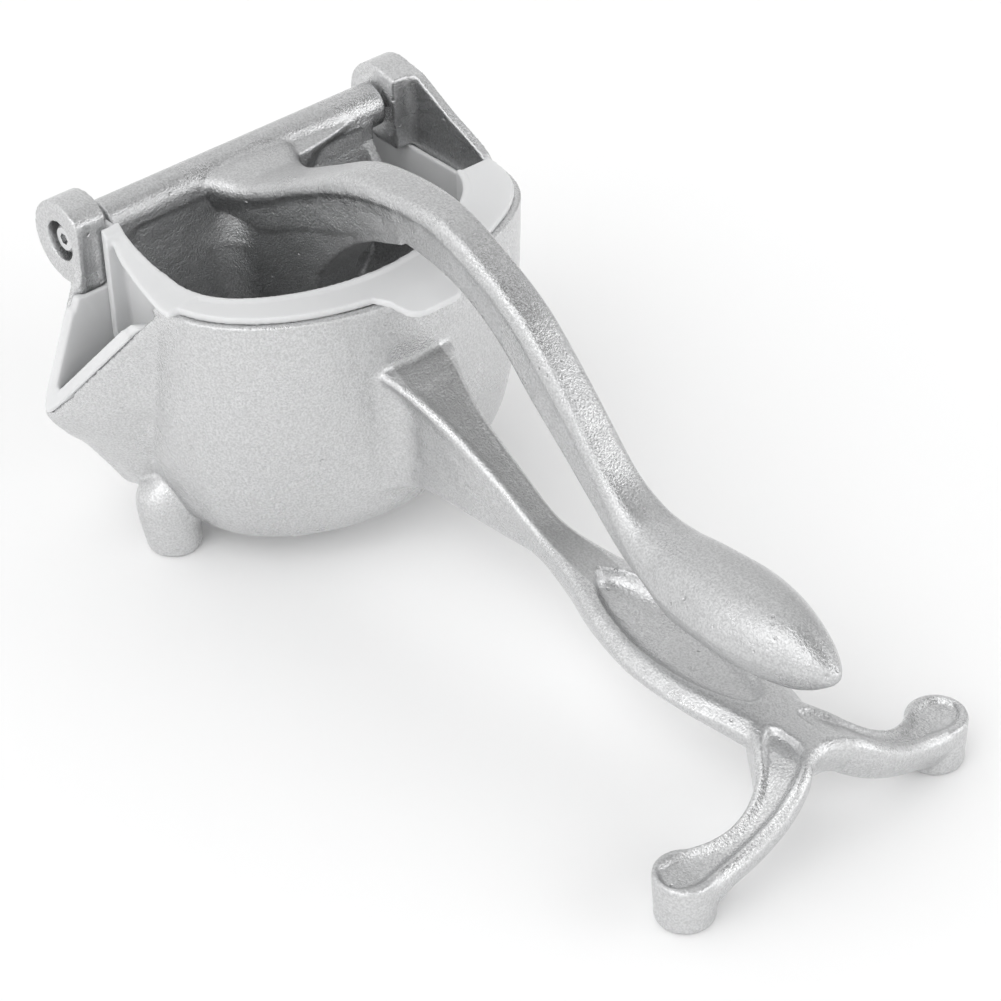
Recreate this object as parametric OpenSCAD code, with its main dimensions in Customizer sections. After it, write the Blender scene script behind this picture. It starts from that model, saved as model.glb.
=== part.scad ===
// Manual citrus press: cast cup with pouring spout, lower handle and forked foot, hinged lever with
// press head and grip, hinge bolt with nut and washers, plastic strainer basket and plastic cup liner.

/* [Overall] */
// distance from the hinge axis to the centres of the front feet
foot_reach = 230; // [228:0.5:232]
// height of the hinge axis above the table
hinge_z = 94.8; // [94:0.2:96]
// half the distance over the two hinge ears
ear_half = 59.05; // [58.8:0.05:60]
// height of the cup rim above the table
rim_z = 89.5; // [89:0.25:90]

/* [Cup] */
// distance from the hinge axis to the front of the cup
cup_front = 78; // [77.5:0.25:79]
// distance from the hinge axis to the back of the cup
cup_back = 13.6; // [13.4:0.1:14.4]
// wall thickness of the cup and spout
cup_wall = 3; // [2.8:0.1:3.1]
// height of the outer bottom of the cup above the table
cup_floor_z = 4; // [3.5:0.25:5]
// radius of the front of the cup seen from above
cup_nose_r = 91; // [88:1:95]
// radius of the near part of the front of the cup seen from above
cup_near_r = 66; // [64:1:70]
// how much narrower the cup is on the near side than over the ears
cup_narrow = 1.6; // [1:0.1:2]
// radius of the two rear pegs at the table
peg_r = 7.9; // [7:0.1:8.2]

/* [Hinge] */
// thickness of a hinge ear
ear_t = 10; // [9.8:0.1:10.2]
// outer radius of a hinge ear
ear_r = 11.6; // [11.4:0.1:12]
// radius of the round bar of the lever
roll_r = 6.4; // [6.2:0.1:6.5]
// shank radius of the hinge bolt
bolt_r = 2.5; // [2.3:0.1:2.6]

/* [Lever] */
// half width of the lever arm behind the grip
arm_half = 6.1; // [6:0.1:6.6]
// half width of the grip at its widest
grip_half = 14.1; // [13:0.1:15]
// wall thickness of the press head
head_wall = 3.6; // [3.2:0.1:4]

/* [Plastic] */
// wall thickness of the strainer basket
basket_wall = 1.6; // [1.5:0.1:1.7]
// wall thickness of the cup liner
liner_wall = 1.4; // [1.3:0.1:1.5]
// distance from the outside of an ear to the inner side of the strainer basket
basket_side_gap = 12.45; // [12.35:0.05:12.65]
// distance from the front of the cup to the inner front of the strainer basket
basket_front_gap = 12.5; // [12:0.25:13]

/* [Hidden] */
$fn = 64;

alloy = [0.78, 0.79, 0.80];
steel = [0.62, 0.63, 0.65];
milky = [0.93, 0.94, 0.95];

// clearances
near_gap = 3.1;
far_gap = 1;
run_gap = 0.06;
seat_gap = 0.3;
head_gap = 2;
head_side_gap = 3.5;
eps = 0.01;
far = 200;

// sizes of the basket that follow from the cup
basket_half = ear_half - basket_side_gap;
basket_front = cup_front - basket_front_gap;

// the hinge axis stands at x = 0 while the pieces are drawn; the whole press is then moved so that
// the middle of its footprint is at the origin
fork_front = 9.2;
spout_reach = 75.5;
mid_x = (foot_reach + fork_front - cup_back) / 2;
mid_y = (ear_half - spout_reach) / 2;
module placed() {
    translate([-mid_x, -mid_y, 0])
        children();
}

// smooth curve through stations, each station a row of numbers
function cat(a, b, c, d, t) = 0.5 * (2 * b + (c - a) * t + (2 * a - 5 * b + 4 * c - d) * t * t
                              + (3 * b - a - 3 * c + d) * t * t * t);
function smooth(list, steps) = [
    for (i = [0 : len(list) - 2])
        for (k = [0 : steps - 1])
            cat(list[max(i - 1, 0)], list[i], list[i + 1], list[min(i + 2, len(list) - 1)], k / steps),
    list[len(list) - 1]
];

// solid through a row of closed rings of equal length with flat ends;
// each ring runs counter-clockwise seen from the end of the row
module loft(rings) {
    n = len(rings[0]);
    m = len(rings);
    points = [for (r = rings) for (p = r) p];
    sides = [
        for (i = [0 : m - 2])
            for (j = [0 : n - 1])
                for (half = [0, 1])
                    half == 0
                    ? [i * n + j, (i + 1) * n + (j + 1) % n, i * n + (j + 1) % n]
                    : [i * n + j, (i + 1) * n + j, (i + 1) * n + (j + 1) % n]
    ];
    first = [[for (j = [0 : n - 1]) j]];
    last = [[for (j = [0 : n - 1]) (m - 1) * n + n - 1 - j]];
    polyhedron(points = points, faces = concat(sides, first, last), convexity = 8);
}

// turns the Z direction of its children onto the hinge axis
module along_hinge() {
    translate([0, 0, hinge_z])
    rotate([90, 0, 0])
        children();
}
// prism of a side-view outline from y0 to y1
module side_prism(outline, y0, y1) {
    translate([0, y1, 0])
    rotate([90, 0, 0])
        linear_extrude(height = y1 - y0)
            polygon(outline);
}

// rounded D outline seen from above: straight sides, flat back, round front;
// the front is rounder on the near side (towards the spout) than on the far side
outline_x = 24;
function ray_to_arc(a, front, nose) =
    let (c = front - nose - outline_x)
    c * cos(a) + sqrt(max(nose * nose - pow(c * sin(a), 2), 0));
function outline_r(a, half, front, back, nose_near, nose_far, sharp, sharp_back, narrow = 0) =
    let (f = ray_to_arc(a, front, sin(a) < 0 ? nose_near : nose_far),
         s = (sin(a) < 0 ? half - narrow : half) / max(abs(sin(a)), 0.001),
         b = (outline_x + back) / max(-cos(a), 0.001),
         p = cos(a) < 0 ? sharp_back : sharp)
    pow(pow(f, -p) + pow(s, -p) + pow(b, -p), -1 / p);
function outline(half, front, back, nose_near, nose_far, sharp, sharp_back, n, narrow = 0) = [
    for (k = [0 : n - 1])
        let (a = 360 * k / n,
             r = outline_r(a, half, front, back, nose_near, nose_far, sharp, sharp_back, narrow))
        [outline_x + r * cos(a), r * sin(a)]
];
// the outline shrunk towards the point (shrink_x, 0) and set at a height
shrink_x = 12;
function ring_at(flat, scale, z) = [
    for (p = flat) [shrink_x + scale * (p[0] - shrink_x), scale * p[1], z]
];
// rings of a bowl: share of the height against share of the full outline
bowl = [[0, 0.44], [0.015, 0.57], [0.05, 0.72], [0.12, 0.835], [0.23, 0.905], [0.40, 0.95], [0.60, 0.975],
        [0.80, 0.99], [1, 1]];
module bowl_solid(flat, z0, z1, lid) {
    loft([
        for (s = bowl) ring_at(flat, s[1], z0 + s[0] * (z1 - z0)),
        ring_at(flat, 1.005, z1 + lid)
    ]);
}

// cup
cup_n = 48;
function cup_outline(inset) = outline(ear_half - inset, cup_front - inset, cup_back - inset,
                                      cup_near_r - inset, cup_nose_r - inset, 12, 7, cup_n, cup_narrow);
module cup_solid(inset, lid) {
    bowl_solid(cup_outline(inset), cup_floor_z + inset, rim_z, lid);
}

// spout: keel line [height, distance out], crease line [height, x, distance out]
spout_x = 5.5;
keel = smooth([[12, 46], [16, 52], [20, 54.8], [26, 58.4], [35, 64.2], [41, 69.5], [48, 74.2], [54, 75.8],
               [70, 78], [108, 84]], 2);
crease = [[12, 16, 45.5], [23, 19.5, 52.4], [54, 30, 55.2], [89, 40, 54.6], [108, 46, 54.6]];
crease_x = [for (q = crease) [q[0], q[1]]];
crease_y = [for (q = crease) [q[0], q[2]]];
function spout_ring(z, inset) =
    let (k = lookup(z, keel) - 1.25 * inset, c = lookup(z, crease_x) - 0.5 * inset,
         e = lookup(z, crease_y) - inset, x = spout_x + inset)
    [[x, -30, z], [x, -k + 3, z], [x + 0.9, -k + 0.9, z], [x + 3, -k, z], [x + 5.4, -k + 1.4, z],
     [(x + c) / 2 + 3, (-k - e) / 2 - 0.2, z], [c, -e, z], [c + 6, -e + 4, z], [c + 6, -30, z]];
module spout_solid(inset, z0) {
    loft([
        spout_ring(z0, inset),
        for (q = keel) if (q[0] > z0 + 1) spout_ring(q[0], inset)
    ]);
}
// plane of the spout mouth, through the tip and the two upper corners
mouth_point = [spout_x + 1.5, -ear_half, rim_z - 1];
mouth_tilt = 65.3;
mouth_turn = -81.6;
module above_mouth(lift) {
    translate(mouth_point)
    rotate([0, mouth_tilt, mouth_turn])
    translate([-far / 2, -far / 2, lift])
        cube([far, far, far / 2]);
}
// side view of everything above the rim line
wall_x = 40.6;
far_line = [[-far / 4, rim_z - 5.5], [2, rim_z - 5.5], [2, hinge_z + ear_r], [10.5, rim_z + 15.3],
            [24, rim_z + 8.1], [wall_x - 1.6, rim_z + 1.9], [wall_x, rim_z], [far, rim_z], [far, far],
            [-far / 4, far]];
near_line = [[-far / 4, rim_z], [far, rim_z], [far, far], [-far / 4, far]];

ear_floor = 82.7;
ear_front = 8.8;
module ear(s) {
    y = s * (ear_half - ear_t / 2);
    translate([0, y, 0]) {
        intersection() {
            translate([0, 0, hinge_z])
            rotate([90, 0, 0])
                cylinder(r = ear_r, h = ear_t, center = true);
            translate([-far, -far / 2, 0])
                cube([far + ear_front, far, far]);
        }
        translate([-1, -ear_t / 2, ear_floor])
            cube([1 + ear_front, ear_t, hinge_z - ear_floor]);
    }
}
// the far ear runs on into the sloping far wall
module far_shoulder() {
    side_prism([[-2, hinge_z], [ear_front, hinge_z], [ear_front, hinge_z + ear_r - 1.4],
                [0, hinge_z + ear_r - 0.05], [-2, hinge_z + ear_r - 0.4]],
               ear_half - ear_t, ear_half);
}

recess_depth = 5.5;
recess_r = 5.7;
module ear_bores() {
    along_hinge() {
        cylinder(r = bolt_r + run_gap, h = far, center = true);
        for (s = [-1, 1])
            translate([0, 0, s * (ear_half + far / 2 - recess_depth)])
                cylinder(r = recess_r, h = far, center = true);
    }
}

peg_x = 22.6;
peg_y = 47.3;
module peg(s) {
    loft([
        for (q = [[0, 1.6, 0], [0.6, 0.6, 0], [1.8, 0, 0], [12, -0.4, 1.5], [18, -0.4, 1.8], [22, 0.6, 0.6],
                  [26, 2.4, -2]])
            [for (k = [0 : 23])
                let (a = 15 * k, r = peg_r - q[1])
                [peg_x + r * cos(a), s * peg_y + r * sin(a) + (s * sin(a) > 0 ? s * q[2] : 0) * abs(sin(a)), q[0]]]
    ]);
}

// lower handle: rows of [share, half width, top z, bottom z, bevel], the share counted from the front of
// the cup to the centres of the feet
handle = [[-0.13, 13, 68.6, 18, 1.2], [-0.05, 13, 68.6, 24, 1.2], [0, 12.6, 68.2, 27, 1.2],
          [0.026, 11, 66.2, 28.8, 1.2], [0.053, 9.4, 64, 29.4, 1.2], [0.086, 7.8, 61.3, 30, 1.2],
          [0.118, 6.7, 58.6, 30.4, 1.2], [0.17, 5.7, 54.9, 30.8, 1.2], [0.25, 4.9, 49.2, 31, 1.2],
          [0.342, 4.9, 42.4, 31.5, 1.3], [0.441, 7.6, 39.5, 29, 1.5], [0.54, 12.5, 37, 28, 1.8],
          [0.658, 15.8, 34.6, 27, 2.2], [0.77, 15, 33, 26, 2.4], [0.849, 12, 32, 24, 2.4],
          [0.914, 9.7, 31.2, 22.5, 2.4], [0.96, 8.2, 31.2, 21, 2.4]];
function handle_x(share) = cup_front + share * (foot_reach - cup_front);
function bar_ring(x, w, top, low, b) = [
    [x, -w + 2.4, low], [x, w - 2.4, low], [x, w - 0.6, low + 2], [x, w, (top + low) / 2],
    [x, w, top - b], [x, w - 1.5 * b, top], [x, -w + 1.5 * b, top], [x, -w, top - b],
    [x, -w, (top + low) / 2], [x, -w + 0.6, low + 2]];
module handle_solid() {
    loft([for (s = smooth(handle, 3)) bar_ring(handle_x(s[0]), s[1], s[2], s[3], s[4])]);
}
// long leaf-shaped dish in the top of the handle: rows of [share, half width, floor z]
dish = [[0.474, 2, 37.5], [0.493, 4.5, 34.5], [0.54, 8, 32.5], [0.638, 11, 30.5], [0.737, 10.6, 29.8],
        [0.81, 7.8, 29.8], [0.855, 4.2, 30.5], [0.875, 1.5, 33]];
module handle_dish() {
    loft([for (s = smooth(dish, 2))
        let (x = handle_x(s[0]), w = s[1], z = s[2])
        [[x, -w * 0.6, z], [x, w * 0.6, z], [x, w, z + 4], [x, w + 0.5, z + 18], [x, -w - 0.5, z + 18],
         [x, -w, z + 4]]]);
}
// shallow channel in the top of the narrow part: rows of [share, half width, depth under the top]
channel = [[0.04, 7.6, -0.6], [0.06, 6.8, 0.5], [0.09, 5.6, 0.7], [0.118, 4.6, 0.7], [0.25, 3, 0.7],
           [0.342, 3, 0.7], [0.4, 3.6, 0.4], [0.43, 4, -0.4]];
handle_top = [for (q = handle) [q[0], q[2]]];
module handle_channel() {
    loft([for (s = smooth(channel, 3))
        let (x = handle_x(s[0]), w = s[1], z = lookup(s[0], handle_top) - s[2])
        [[x, -w + 1, z], [x, w - 1, z], [x, w + 0.5, z + 4], [x, -w - 0.5, z + 4]]]);
}
// fork: rows of [y, back x, front x, top z, bottom z], x measured from the foot centre
fork_half = [[0, -21, 3.4, 31.2, 18.6], [5, -19.5, 4.8, 31.2, 18.2], [8, -15.5, 7, 30.6, 16.6],
             [12, -9.5, 8.5, 28.6, 14.2], [16, -4.6, 9.1, 25.6, 12], [21, -2, fork_front, 22.2, 9.4],
             [27, -1.4, 8.9, 19, 6.8], [33, -3, 8.5, 16.8, 4.6], [38, -5.4, 8.5, 15.8, 2], [42, -7, 8.3, 15.2, 1]];
fork_count = len(fork_half);
fork = concat([for (i = [fork_count - 1 : -1 : 1]) [-fork_half[i][0], for (k = [1 : 4]) fork_half[i][k]]],
              fork_half);
module fork_bar() {
    loft([for (q = smooth(fork, 2))
        let (y = q[0], b = foot_reach + q[1], f = foot_reach + q[2], t = q[3], l = q[4], m = (2 * t + l) / 3)
        [[f - 4, y, l], [b + 2, y, l], [b, y, l + 2], [b, y, t - 1], [b + 1, y, t], [f - 2, y, t],
         [f, y, t - 2.2], [f - 0.4, y, m - 2]]]);
}
foot_y = 43.5;
foot_r = 8.3;
foot_z = 15;
module foot() {
    translate([foot_reach, foot_y, 0]) {
        cylinder(r1 = foot_r - 1.6, r2 = foot_r - 0.5, h = 1.2 + eps);
        translate([0, 0, 1.2])
            cylinder(r1 = foot_r - 0.5, r2 = foot_r, h = foot_z - 1.2);
    }
}
// pocket in the top of a branch: rows of [y, back x, front x, depth]
pocket = [[3.8, -9.5, -1.5], [5, -11.5, 1.2], [8, -10.4, 3.6], [11, -7.2, 5], [15, -3, 6], [20, -0.4, 6.4],
          [26, 0.2, 6], [32, -1, 5.6], [36, -3, 5.6], [40, -5.2, 5.8], [44, -6.4, 6], [47, -6, 5.2],
          [49, -4.4, 3.6], [50.2, -1.5, 1.5]];
fork_top = [for (q = fork_half) [q[0], q[3]]];
module branch_pocket() {
    deep = 1.8;
    loft([for (q = smooth(pocket, 2))
        let (y = q[0], b = foot_reach + q[1], f = foot_reach + q[2], z = lookup(y, fork_top) - deep)
        [[f - 0.8, y, z], [b + 0.8, y, z], [b - 0.6, y, z + 6], [f + 0.6, y, z + 6]]]);
}

module body_casting() {
    color(alloy)
    placed()
    difference() {
        union() {
            difference() {
                union() {
                    cup_solid(0, 18);
                    spout_solid(0, 12);
                    handle_solid();
                    for (s = [-1, 1])
                        peg(s);
                }
                cup_solid(cup_wall, 30);
                spout_solid(cup_wall, 18);
                above_mouth(0);
                side_prism(far_line, 0, far);
                side_prism(near_line, -far, eps);
            }
            for (s = [-1, 1])
                ear(s);
            far_shoulder();
            fork_bar();
            for (s = [0, 1])
                mirror([0, s, 0])
                    foot();
        }
        // open back between the ears, for the bar of the lever
        translate([-40, -(ear_half - ear_t), 80])
            cube([45, 2 * (ear_half - ear_t), 60]);
        handle_dish();
        handle_channel();
        for (s = [0, 1])
            mirror([0, s, 0])
                branch_pocket();
        ear_bores();
    }
}

// lever: rows of [x top, z top, x bottom, z bottom, half width, share of boss form, share of grip form]
arm = [[1, 99, -3, 90, 18, 1, 0], [8, 100, 3, 88, 16, 1, 0], [15, 99.4, 9, 86, 12.8, 0.9, 0],
       [20, 100.8, 15, 85, 10.6, 0.6, 0], [27, 103.4, 21, 85, 9, 0.2, 0], [40.5, 110.4, 36, 92, 8, 0, 0],
       [59, 119.6, 54, 99, 7.8, 0, 0], [77, 122.4, 75.7, 108.4, 7.4, 0, 0],
       [94.8, 122.2, 88, 108.4, 6.4, 0, 0], [111.2, 116, 103, 105, arm_half, 0, 0],
       [127.2, 107, 117.6, 96.9, arm_half, 0, 0], [141, 94.1, 130.7, 84.5, arm_half, 0, 0],
       [152, 82, 143, 73.8, arm_half, 0, 0], [161, 72.4, 154.2, 63.6, 6.6, 0, 0.2],
       [170.2, 67, 165.5, 54.8, 8.4, 0, 0.6], [178.8, 66.3, 176, 49.6, 10.6, 0, 1],
       [188, 66.9, 187, 45.4, 0.9 * grip_half, 0, 1], [202, 67, 202, 45.4, grip_half, 0, 1],
       [214, 66.4, 214, 44.8, 0.9 * grip_half, 0, 1], [224, 64.6, 224, 45.6, 0.66 * grip_half, 0, 1],
       [230.5, 61.4, 230.5, 48.2, 0.46 * grip_half, 0, 1], [235, 58, 235, 51.4, 0.24 * grip_half, 0, 1],
       [236.8, 56, 236.8, 53.4, 1.4, 0, 1]];
// half sections, rows of [share of the half width, share of the depth] from the top to the bottom
arm_form = [[0, 1], [0.45, 1], [0.72, 0.93], [0.9, 0.75], [1, 0.46], [0.97, 0.42], [0.97, 0], [0.97, -0.9],
            [0.88, -1], [0, -1]];
boss_form = [[0, 1], [0.4, 0.97], [0.7, 0.88], [0.88, 0.7], [0.97, 0.4], [1, 0.1], [0.97, -0.3], [0.9, -0.7],
             [0.7, -0.95], [0, -1]];
grip_form = [[0, 1], [0.3, 0.95], [0.55, 0.82], [0.76, 0.6], [0.92, 0.3], [1, -0.04], [0.97, -0.14],
             [0.84, -0.5], [0.5, -0.88], [0, -1]];
function half_form(boss, grip) = (1 - boss - grip) * arm_form + boss * boss_form + grip * grip_form;
function arm_ring(s) =
    let (q = half_form(s[5], s[6]), n = len(q), mx = (s[0] + s[2]) / 2, mz = (s[1] + s[3]) / 2,
         dx = (s[0] - s[2]) / 2, dz = (s[1] - s[3]) / 2)
    [for (k = [0 : 2 * n - 3])
        let (i = k < n ? k : 2 * n - 2 - k, side = k < n ? 1 : -1)
        [mx + dx * q[i][1], -side * s[4] * q[i][0], mz + dz * q[i][1]]];

// press head: the outline of the basket turned about the hinge axis
head_n = 36;
head_half = basket_half - head_side_gap;
head_reach = basket_front - head_gap;
basket_nose_r = 60;
heel = 1.8;
lip = 7;
function head_outline(inset, floor_r) = [
    [floor_r, -head_half + inset],
    for (k = [0 : head_n])
        let (a = -90 + 180 * k / head_n,
             r = outline_r(a, head_half - inset, head_reach - inset, 0, basket_nose_r - head_gap - inset,
                           basket_nose_r - head_gap - inset, 14, 14))
        [outline_x + r * cos(a), r * sin(a)],
    [floor_r, head_half - inset]
];
// solid of the outline swept from low to high, angles measured from straight down towards the front
module head_sweep(inset, floor_r, low, high) {
    along_hinge()
    rotate([0, 0, -90 + low])
        rotate_extrude(angle = high - low, $fn = 96)
            polygon(head_outline(inset, floor_r));
}
// front and back of the plate that hangs from the bar, seen from the side
plate_front = [[roll_r - 0.2, 93.5], [7, 84], [8.6, 70], [9.4, 55], [8, 40], [7, 20]];
plate_back = [[4, 20], [5, 42], [5.6, 55], [4.8, 70], [3, 84], [1.5, 88]];
// everything above the free edges of the scoop
scoop_edge = [[roll_r + 0.2, 88], [12, 80], [22, 73], [40, 68.5], [far, 68.5], [far, 200], [roll_r + 0.2, 200]];
module head_room() {
    intersection() {
        head_sweep(head_wall, 1, 0, 95);
        side_prism(concat(plate_front, [[far, 20], [far, 93.5]]), -far / 2, far / 2);
    }
    intersection() {
        head_sweep(head_wall, 1, -heel - 2, 20);
        side_prism(concat(plate_back, [[-30, 88], [-30, 20]]), -far / 2, far / 2);
    }
}
// web between the arm and the bowl of the head
web_half = 7;
web = [[2, 90], [25, 97], [45, 107.5], [62, 115.5], [80, 117], [82, 108.6], [69.5, 104.2], [63, 100.4],
       [57, 95.6], [51, 89.4], [45, 81.8], [42, 74], [40, 66], [39, 55], [32, 43], [15, 36], [6, 35]];

bar_half = ear_half - ear_t;
module lever_casting() {
    color(alloy)
    placed()
    difference() {
        union() {
            // the bar runs from -Y to +Y between the ears
            along_hinge()
            translate([0, 0, -bar_half + far_gap])
                cylinder(r = roll_r, h = 2 * bar_half - far_gap - near_gap);
            loft([for (s = smooth(arm, 3)) arm_ring(s)]);
            difference() {
                head_sweep(0, 1, -heel, 90 - lip);
                head_room();
                side_prism(scoop_edge, -far, far);
            }
            side_prism(web, -web_half, web_half);
        }
        along_hinge()
            cylinder(r = bolt_r + run_gap, h = 2 * far, center = true);
    }
}

// strainer basket
basket_top = rim_z + 2.6;
basket_floor = 19;
basket_back = 5.4;
// where the splash wall and the flange on the rim begin
splash_x = 4.6;
flange_x = 41;
function basket_outline(inset) = outline(basket_half + basket_wall - inset, basket_front + basket_wall - inset,
                                         basket_back + basket_wall - inset, basket_nose_r + basket_wall - inset,
                                         basket_nose_r + basket_wall - inset, 14, 10, cup_n);
// top line of the splash wall on the spout side, rows of [x, z]
wall_low = rim_z - 7.5;
splash = [[-far / 4, wall_low], [splash_x, wall_low], [splash_x, rim_z + 9.1], [7.5, rim_z + 8.9],
          [12, rim_z + 6.7], [18, rim_z + 4.7], [26, rim_z + 3.3], [36, basket_top], [far, basket_top],
          [far, far], [-far / 4, far]];
open_side = [[-far / 4, 60], [34, 60], [39, 66], [flange_x, 80], [flange_x, far], [-far / 4, far]];
flange_t = 2;
// finger tab, rows of [distance out from the front of the cup, y]
tab = [[-8, -13], [-2, -11.5], [1, -9.5], [8, -9], [10.3, -7.4], [11, -5], [11, 5], [10.3, 7.4], [8, 9],
       [1, 9.5], [-2, 11.5], [-8, 13]];
// flange that rests on the cup rim, from the near corner round the front to the far corner
module rim_flange() {
    difference() {
        translate([0, 0, rim_z])
            linear_extrude(height = flange_t)
                polygon(cup_outline(1.8));
        translate([flange_x - far, -far / 2, 0])
            cube([far, far, far]);
    }
    // finger tab at the front
    translate([0, 0, rim_z])
        linear_extrude(height = flange_t)
            polygon([for (q = tab) [cup_front + q[0], q[1]]]);
}
// band along the top of the splash wall: rows of [x, width outwards, height above the cup rim]
band = [[splash_x, 2, 9.1], [9.3, 2, 8], [12, 3.4, 6.7], [18, 5.4, 4.7], [26, 7.2, 3.3], [36, 8.6, 2.6],
        [44, 9, 2.6]];
module splash_band() {
    t = 1.8;
    loft([for (q = smooth(band, 2))
        let (y = -basket_half, z = rim_z + q[2])
        [[q[0], y - q[1], z - t - 0.8], [q[0], y, z - t], [q[0], y, z], [q[0], y - q[1], z - 0.8]]]);
}
module filter_basket() {
    slots = 5;
    slot_w = 2.4;
    slot_step = 7;
    color(milky)
    placed()
    difference() {
        union() {
            bowl_solid(basket_outline(0), basket_floor, basket_top, 8);
            rim_flange();
            splash_band();
            translate([splash_x, -basket_half - 2.4, rim_z - 25.5])
                cube([2.6, 2.4, 34]);
        }
        bowl_solid(basket_outline(basket_wall), basket_floor + basket_wall, basket_top, 9);
        side_prism(splash, -far, 0);
        side_prism([[-far / 4, wall_low], [30, wall_low], [flange_x, basket_top], [far, basket_top],
                    [far, far], [-far / 4, far]], -eps, far);
        side_prism(open_side, 20, far);
        for (k = [0 : slots - 1])
            translate([16, (k - (slots - 1) / 2) * slot_step - slot_w / 2, 0])
                cube([24, slot_w, 2 * basket_floor]);
    }
}

// cup liner: thin shell inside the cup and spout with a lip folded over the spout edges
liner_top = 82.3;
lip_t = 1.4;
lip_top = rim_z - 10;
module cup_liner() {
    out = cup_wall + seat_gap;
    inner = out + liner_wall;
    color(milky)
    placed()
    difference() {
        union() {
            cup_solid(out, 0);
            spout_solid(out, 19);
            // lip lying on the cast edge of the spout
            intersection() {
                spout_solid(1.2, 30);
                difference() {
                    above_mouth(0);
                    above_mouth(lip_t);
                }
                translate([0, -far - 53, 0])
                    cube([34, far, lip_top]);
            }
        }
        cup_solid(inner, 30);
        spout_solid(inner, 21);
        intersection() {
            above_mouth(0);
            translate([-far / 2, -far / 2, lip_top])
                cube([far, far, far]);
        }
        above_mouth(lip_t);
        translate([-far / 2, -far / 2, liner_top])
            cube([far, far, far]);
    }
}

// hinge hardware
washer_r = 5;
washer_t = 1;
head_r = 3.9;
head_h = 3;
nut_flats = 8;
nut_h = 4;
socket_flats = 3;
seat_y = ear_half - recess_depth;
module hinge_bolt() {
    under_head = seat_y + washer_t;
    tail = under_head + nut_h + 0.4;
    color(steel)
    placed()
    along_hinge()
    difference() {
        union() {
            translate([0, 0, -tail])
                cylinder(r = bolt_r, h = tail + under_head + eps);
            translate([0, 0, under_head])
                cylinder(r = head_r, h = head_h - 0.6);
            translate([0, 0, under_head + head_h - 0.6])
                cylinder(r1 = head_r, r2 = head_r - 0.6, h = 0.6);
        }
        translate([0, 0, under_head + head_h - 2])
            cylinder(r = socket_flats / sqrt(3), h = 5, $fn = 6);
    }
}
module hinge_nut() {
    color(steel)
    placed()
    along_hinge()
    translate([0, 0, -seat_y - washer_t - nut_h])
    difference() {
        cylinder(r = nut_flats / sqrt(3), h = nut_h, $fn = 6);
        translate([0, 0, -1])
            cylinder(r = bolt_r + run_gap, h = nut_h + 2);
    }
}
module hinge_washers() {
    color(steel)
    placed()
    along_hinge()
    for (z = [-seat_y - washer_t, seat_y])
        translate([0, 0, z])
        difference() {
            cylinder(r = washer_r, h = washer_t);
            translate([0, 0, -1])
                cylinder(r = bolt_r + run_gap, h = washer_t + 2);
        }
}

body_casting();
lever_casting();
filter_basket();
cup_liner();
hinge_bolt();
hinge_nut();
hinge_washers();
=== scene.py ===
"""Looks of a manual citrus press: two aluminium castings, a milky plastic strainer basket and cup liner,
and the steel hardware of the hinge, on a pale floor in soft studio light."""
import math

import bpy
import numpy as np
from mathutils import Matrix, Vector


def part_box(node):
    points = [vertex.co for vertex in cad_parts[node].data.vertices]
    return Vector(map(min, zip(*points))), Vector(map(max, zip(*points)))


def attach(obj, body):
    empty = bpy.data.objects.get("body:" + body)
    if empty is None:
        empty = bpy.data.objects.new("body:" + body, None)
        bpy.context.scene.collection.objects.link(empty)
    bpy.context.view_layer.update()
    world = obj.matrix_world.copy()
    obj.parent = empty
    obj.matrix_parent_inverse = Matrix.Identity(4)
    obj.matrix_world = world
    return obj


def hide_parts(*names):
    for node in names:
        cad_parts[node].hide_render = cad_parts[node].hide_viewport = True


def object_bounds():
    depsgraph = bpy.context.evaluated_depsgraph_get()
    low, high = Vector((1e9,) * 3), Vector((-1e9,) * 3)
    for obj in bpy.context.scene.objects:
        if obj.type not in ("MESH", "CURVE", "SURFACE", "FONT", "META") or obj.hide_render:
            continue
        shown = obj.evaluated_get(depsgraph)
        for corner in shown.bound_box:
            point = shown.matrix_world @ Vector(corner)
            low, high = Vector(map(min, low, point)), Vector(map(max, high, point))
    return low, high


bl_info = {
    "name": "Manual Citrus Press",
    "version": (1, 0, 0),
    "blender": (4, 5, 0),
    "location": "3D View > Sidebar > Citrus Press",
    "description": "Builds the castings, plastic parts, hinge hardware and studio of a hand citrus press",
    "category": "Object",
}

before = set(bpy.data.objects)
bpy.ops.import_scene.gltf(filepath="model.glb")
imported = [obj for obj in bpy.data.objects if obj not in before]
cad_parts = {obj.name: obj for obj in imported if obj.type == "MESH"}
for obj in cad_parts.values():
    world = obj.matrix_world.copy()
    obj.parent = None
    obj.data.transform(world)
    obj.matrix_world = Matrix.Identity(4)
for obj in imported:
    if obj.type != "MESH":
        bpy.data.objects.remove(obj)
cad_low, cad_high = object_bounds()

MM = 0.001

# The shapes are drawn in millimetres with the hinge axis at x = 0, and then moved into the frame.
hinge_low, hinge_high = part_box("hinge_bolt")
HINGE_X = (hinge_low[0] + hinge_high[0]) / 2 / MM
HINGE_Z = (hinge_low[2] + hinge_high[2]) / 2 / MM
washers_low, washers_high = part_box("hinge_washers")
HINGE_Y = (washers_low[1] + washers_high[1]) / 2 / MM
DRAWING_SHIFT = np.array([HINGE_X, HINGE_Y, 0.0])

# Cup: distances are taken from the hinge axis or the press's middle plane, heights from the floor
EAR_HALF = 59.05
EAR_THICK = 10.0
RIM_Z = 89.5
CUP_FRONT = 78.0
CUP_BACK = 13.6
CUP_WALL = 3.0
CUP_FLOOR = 4.0
CUP_NOSE = 91.0
CUP_NEAR = 66.0
CUP_NARROW = 1.6
CUP_SHARP = (12, 7)

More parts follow.
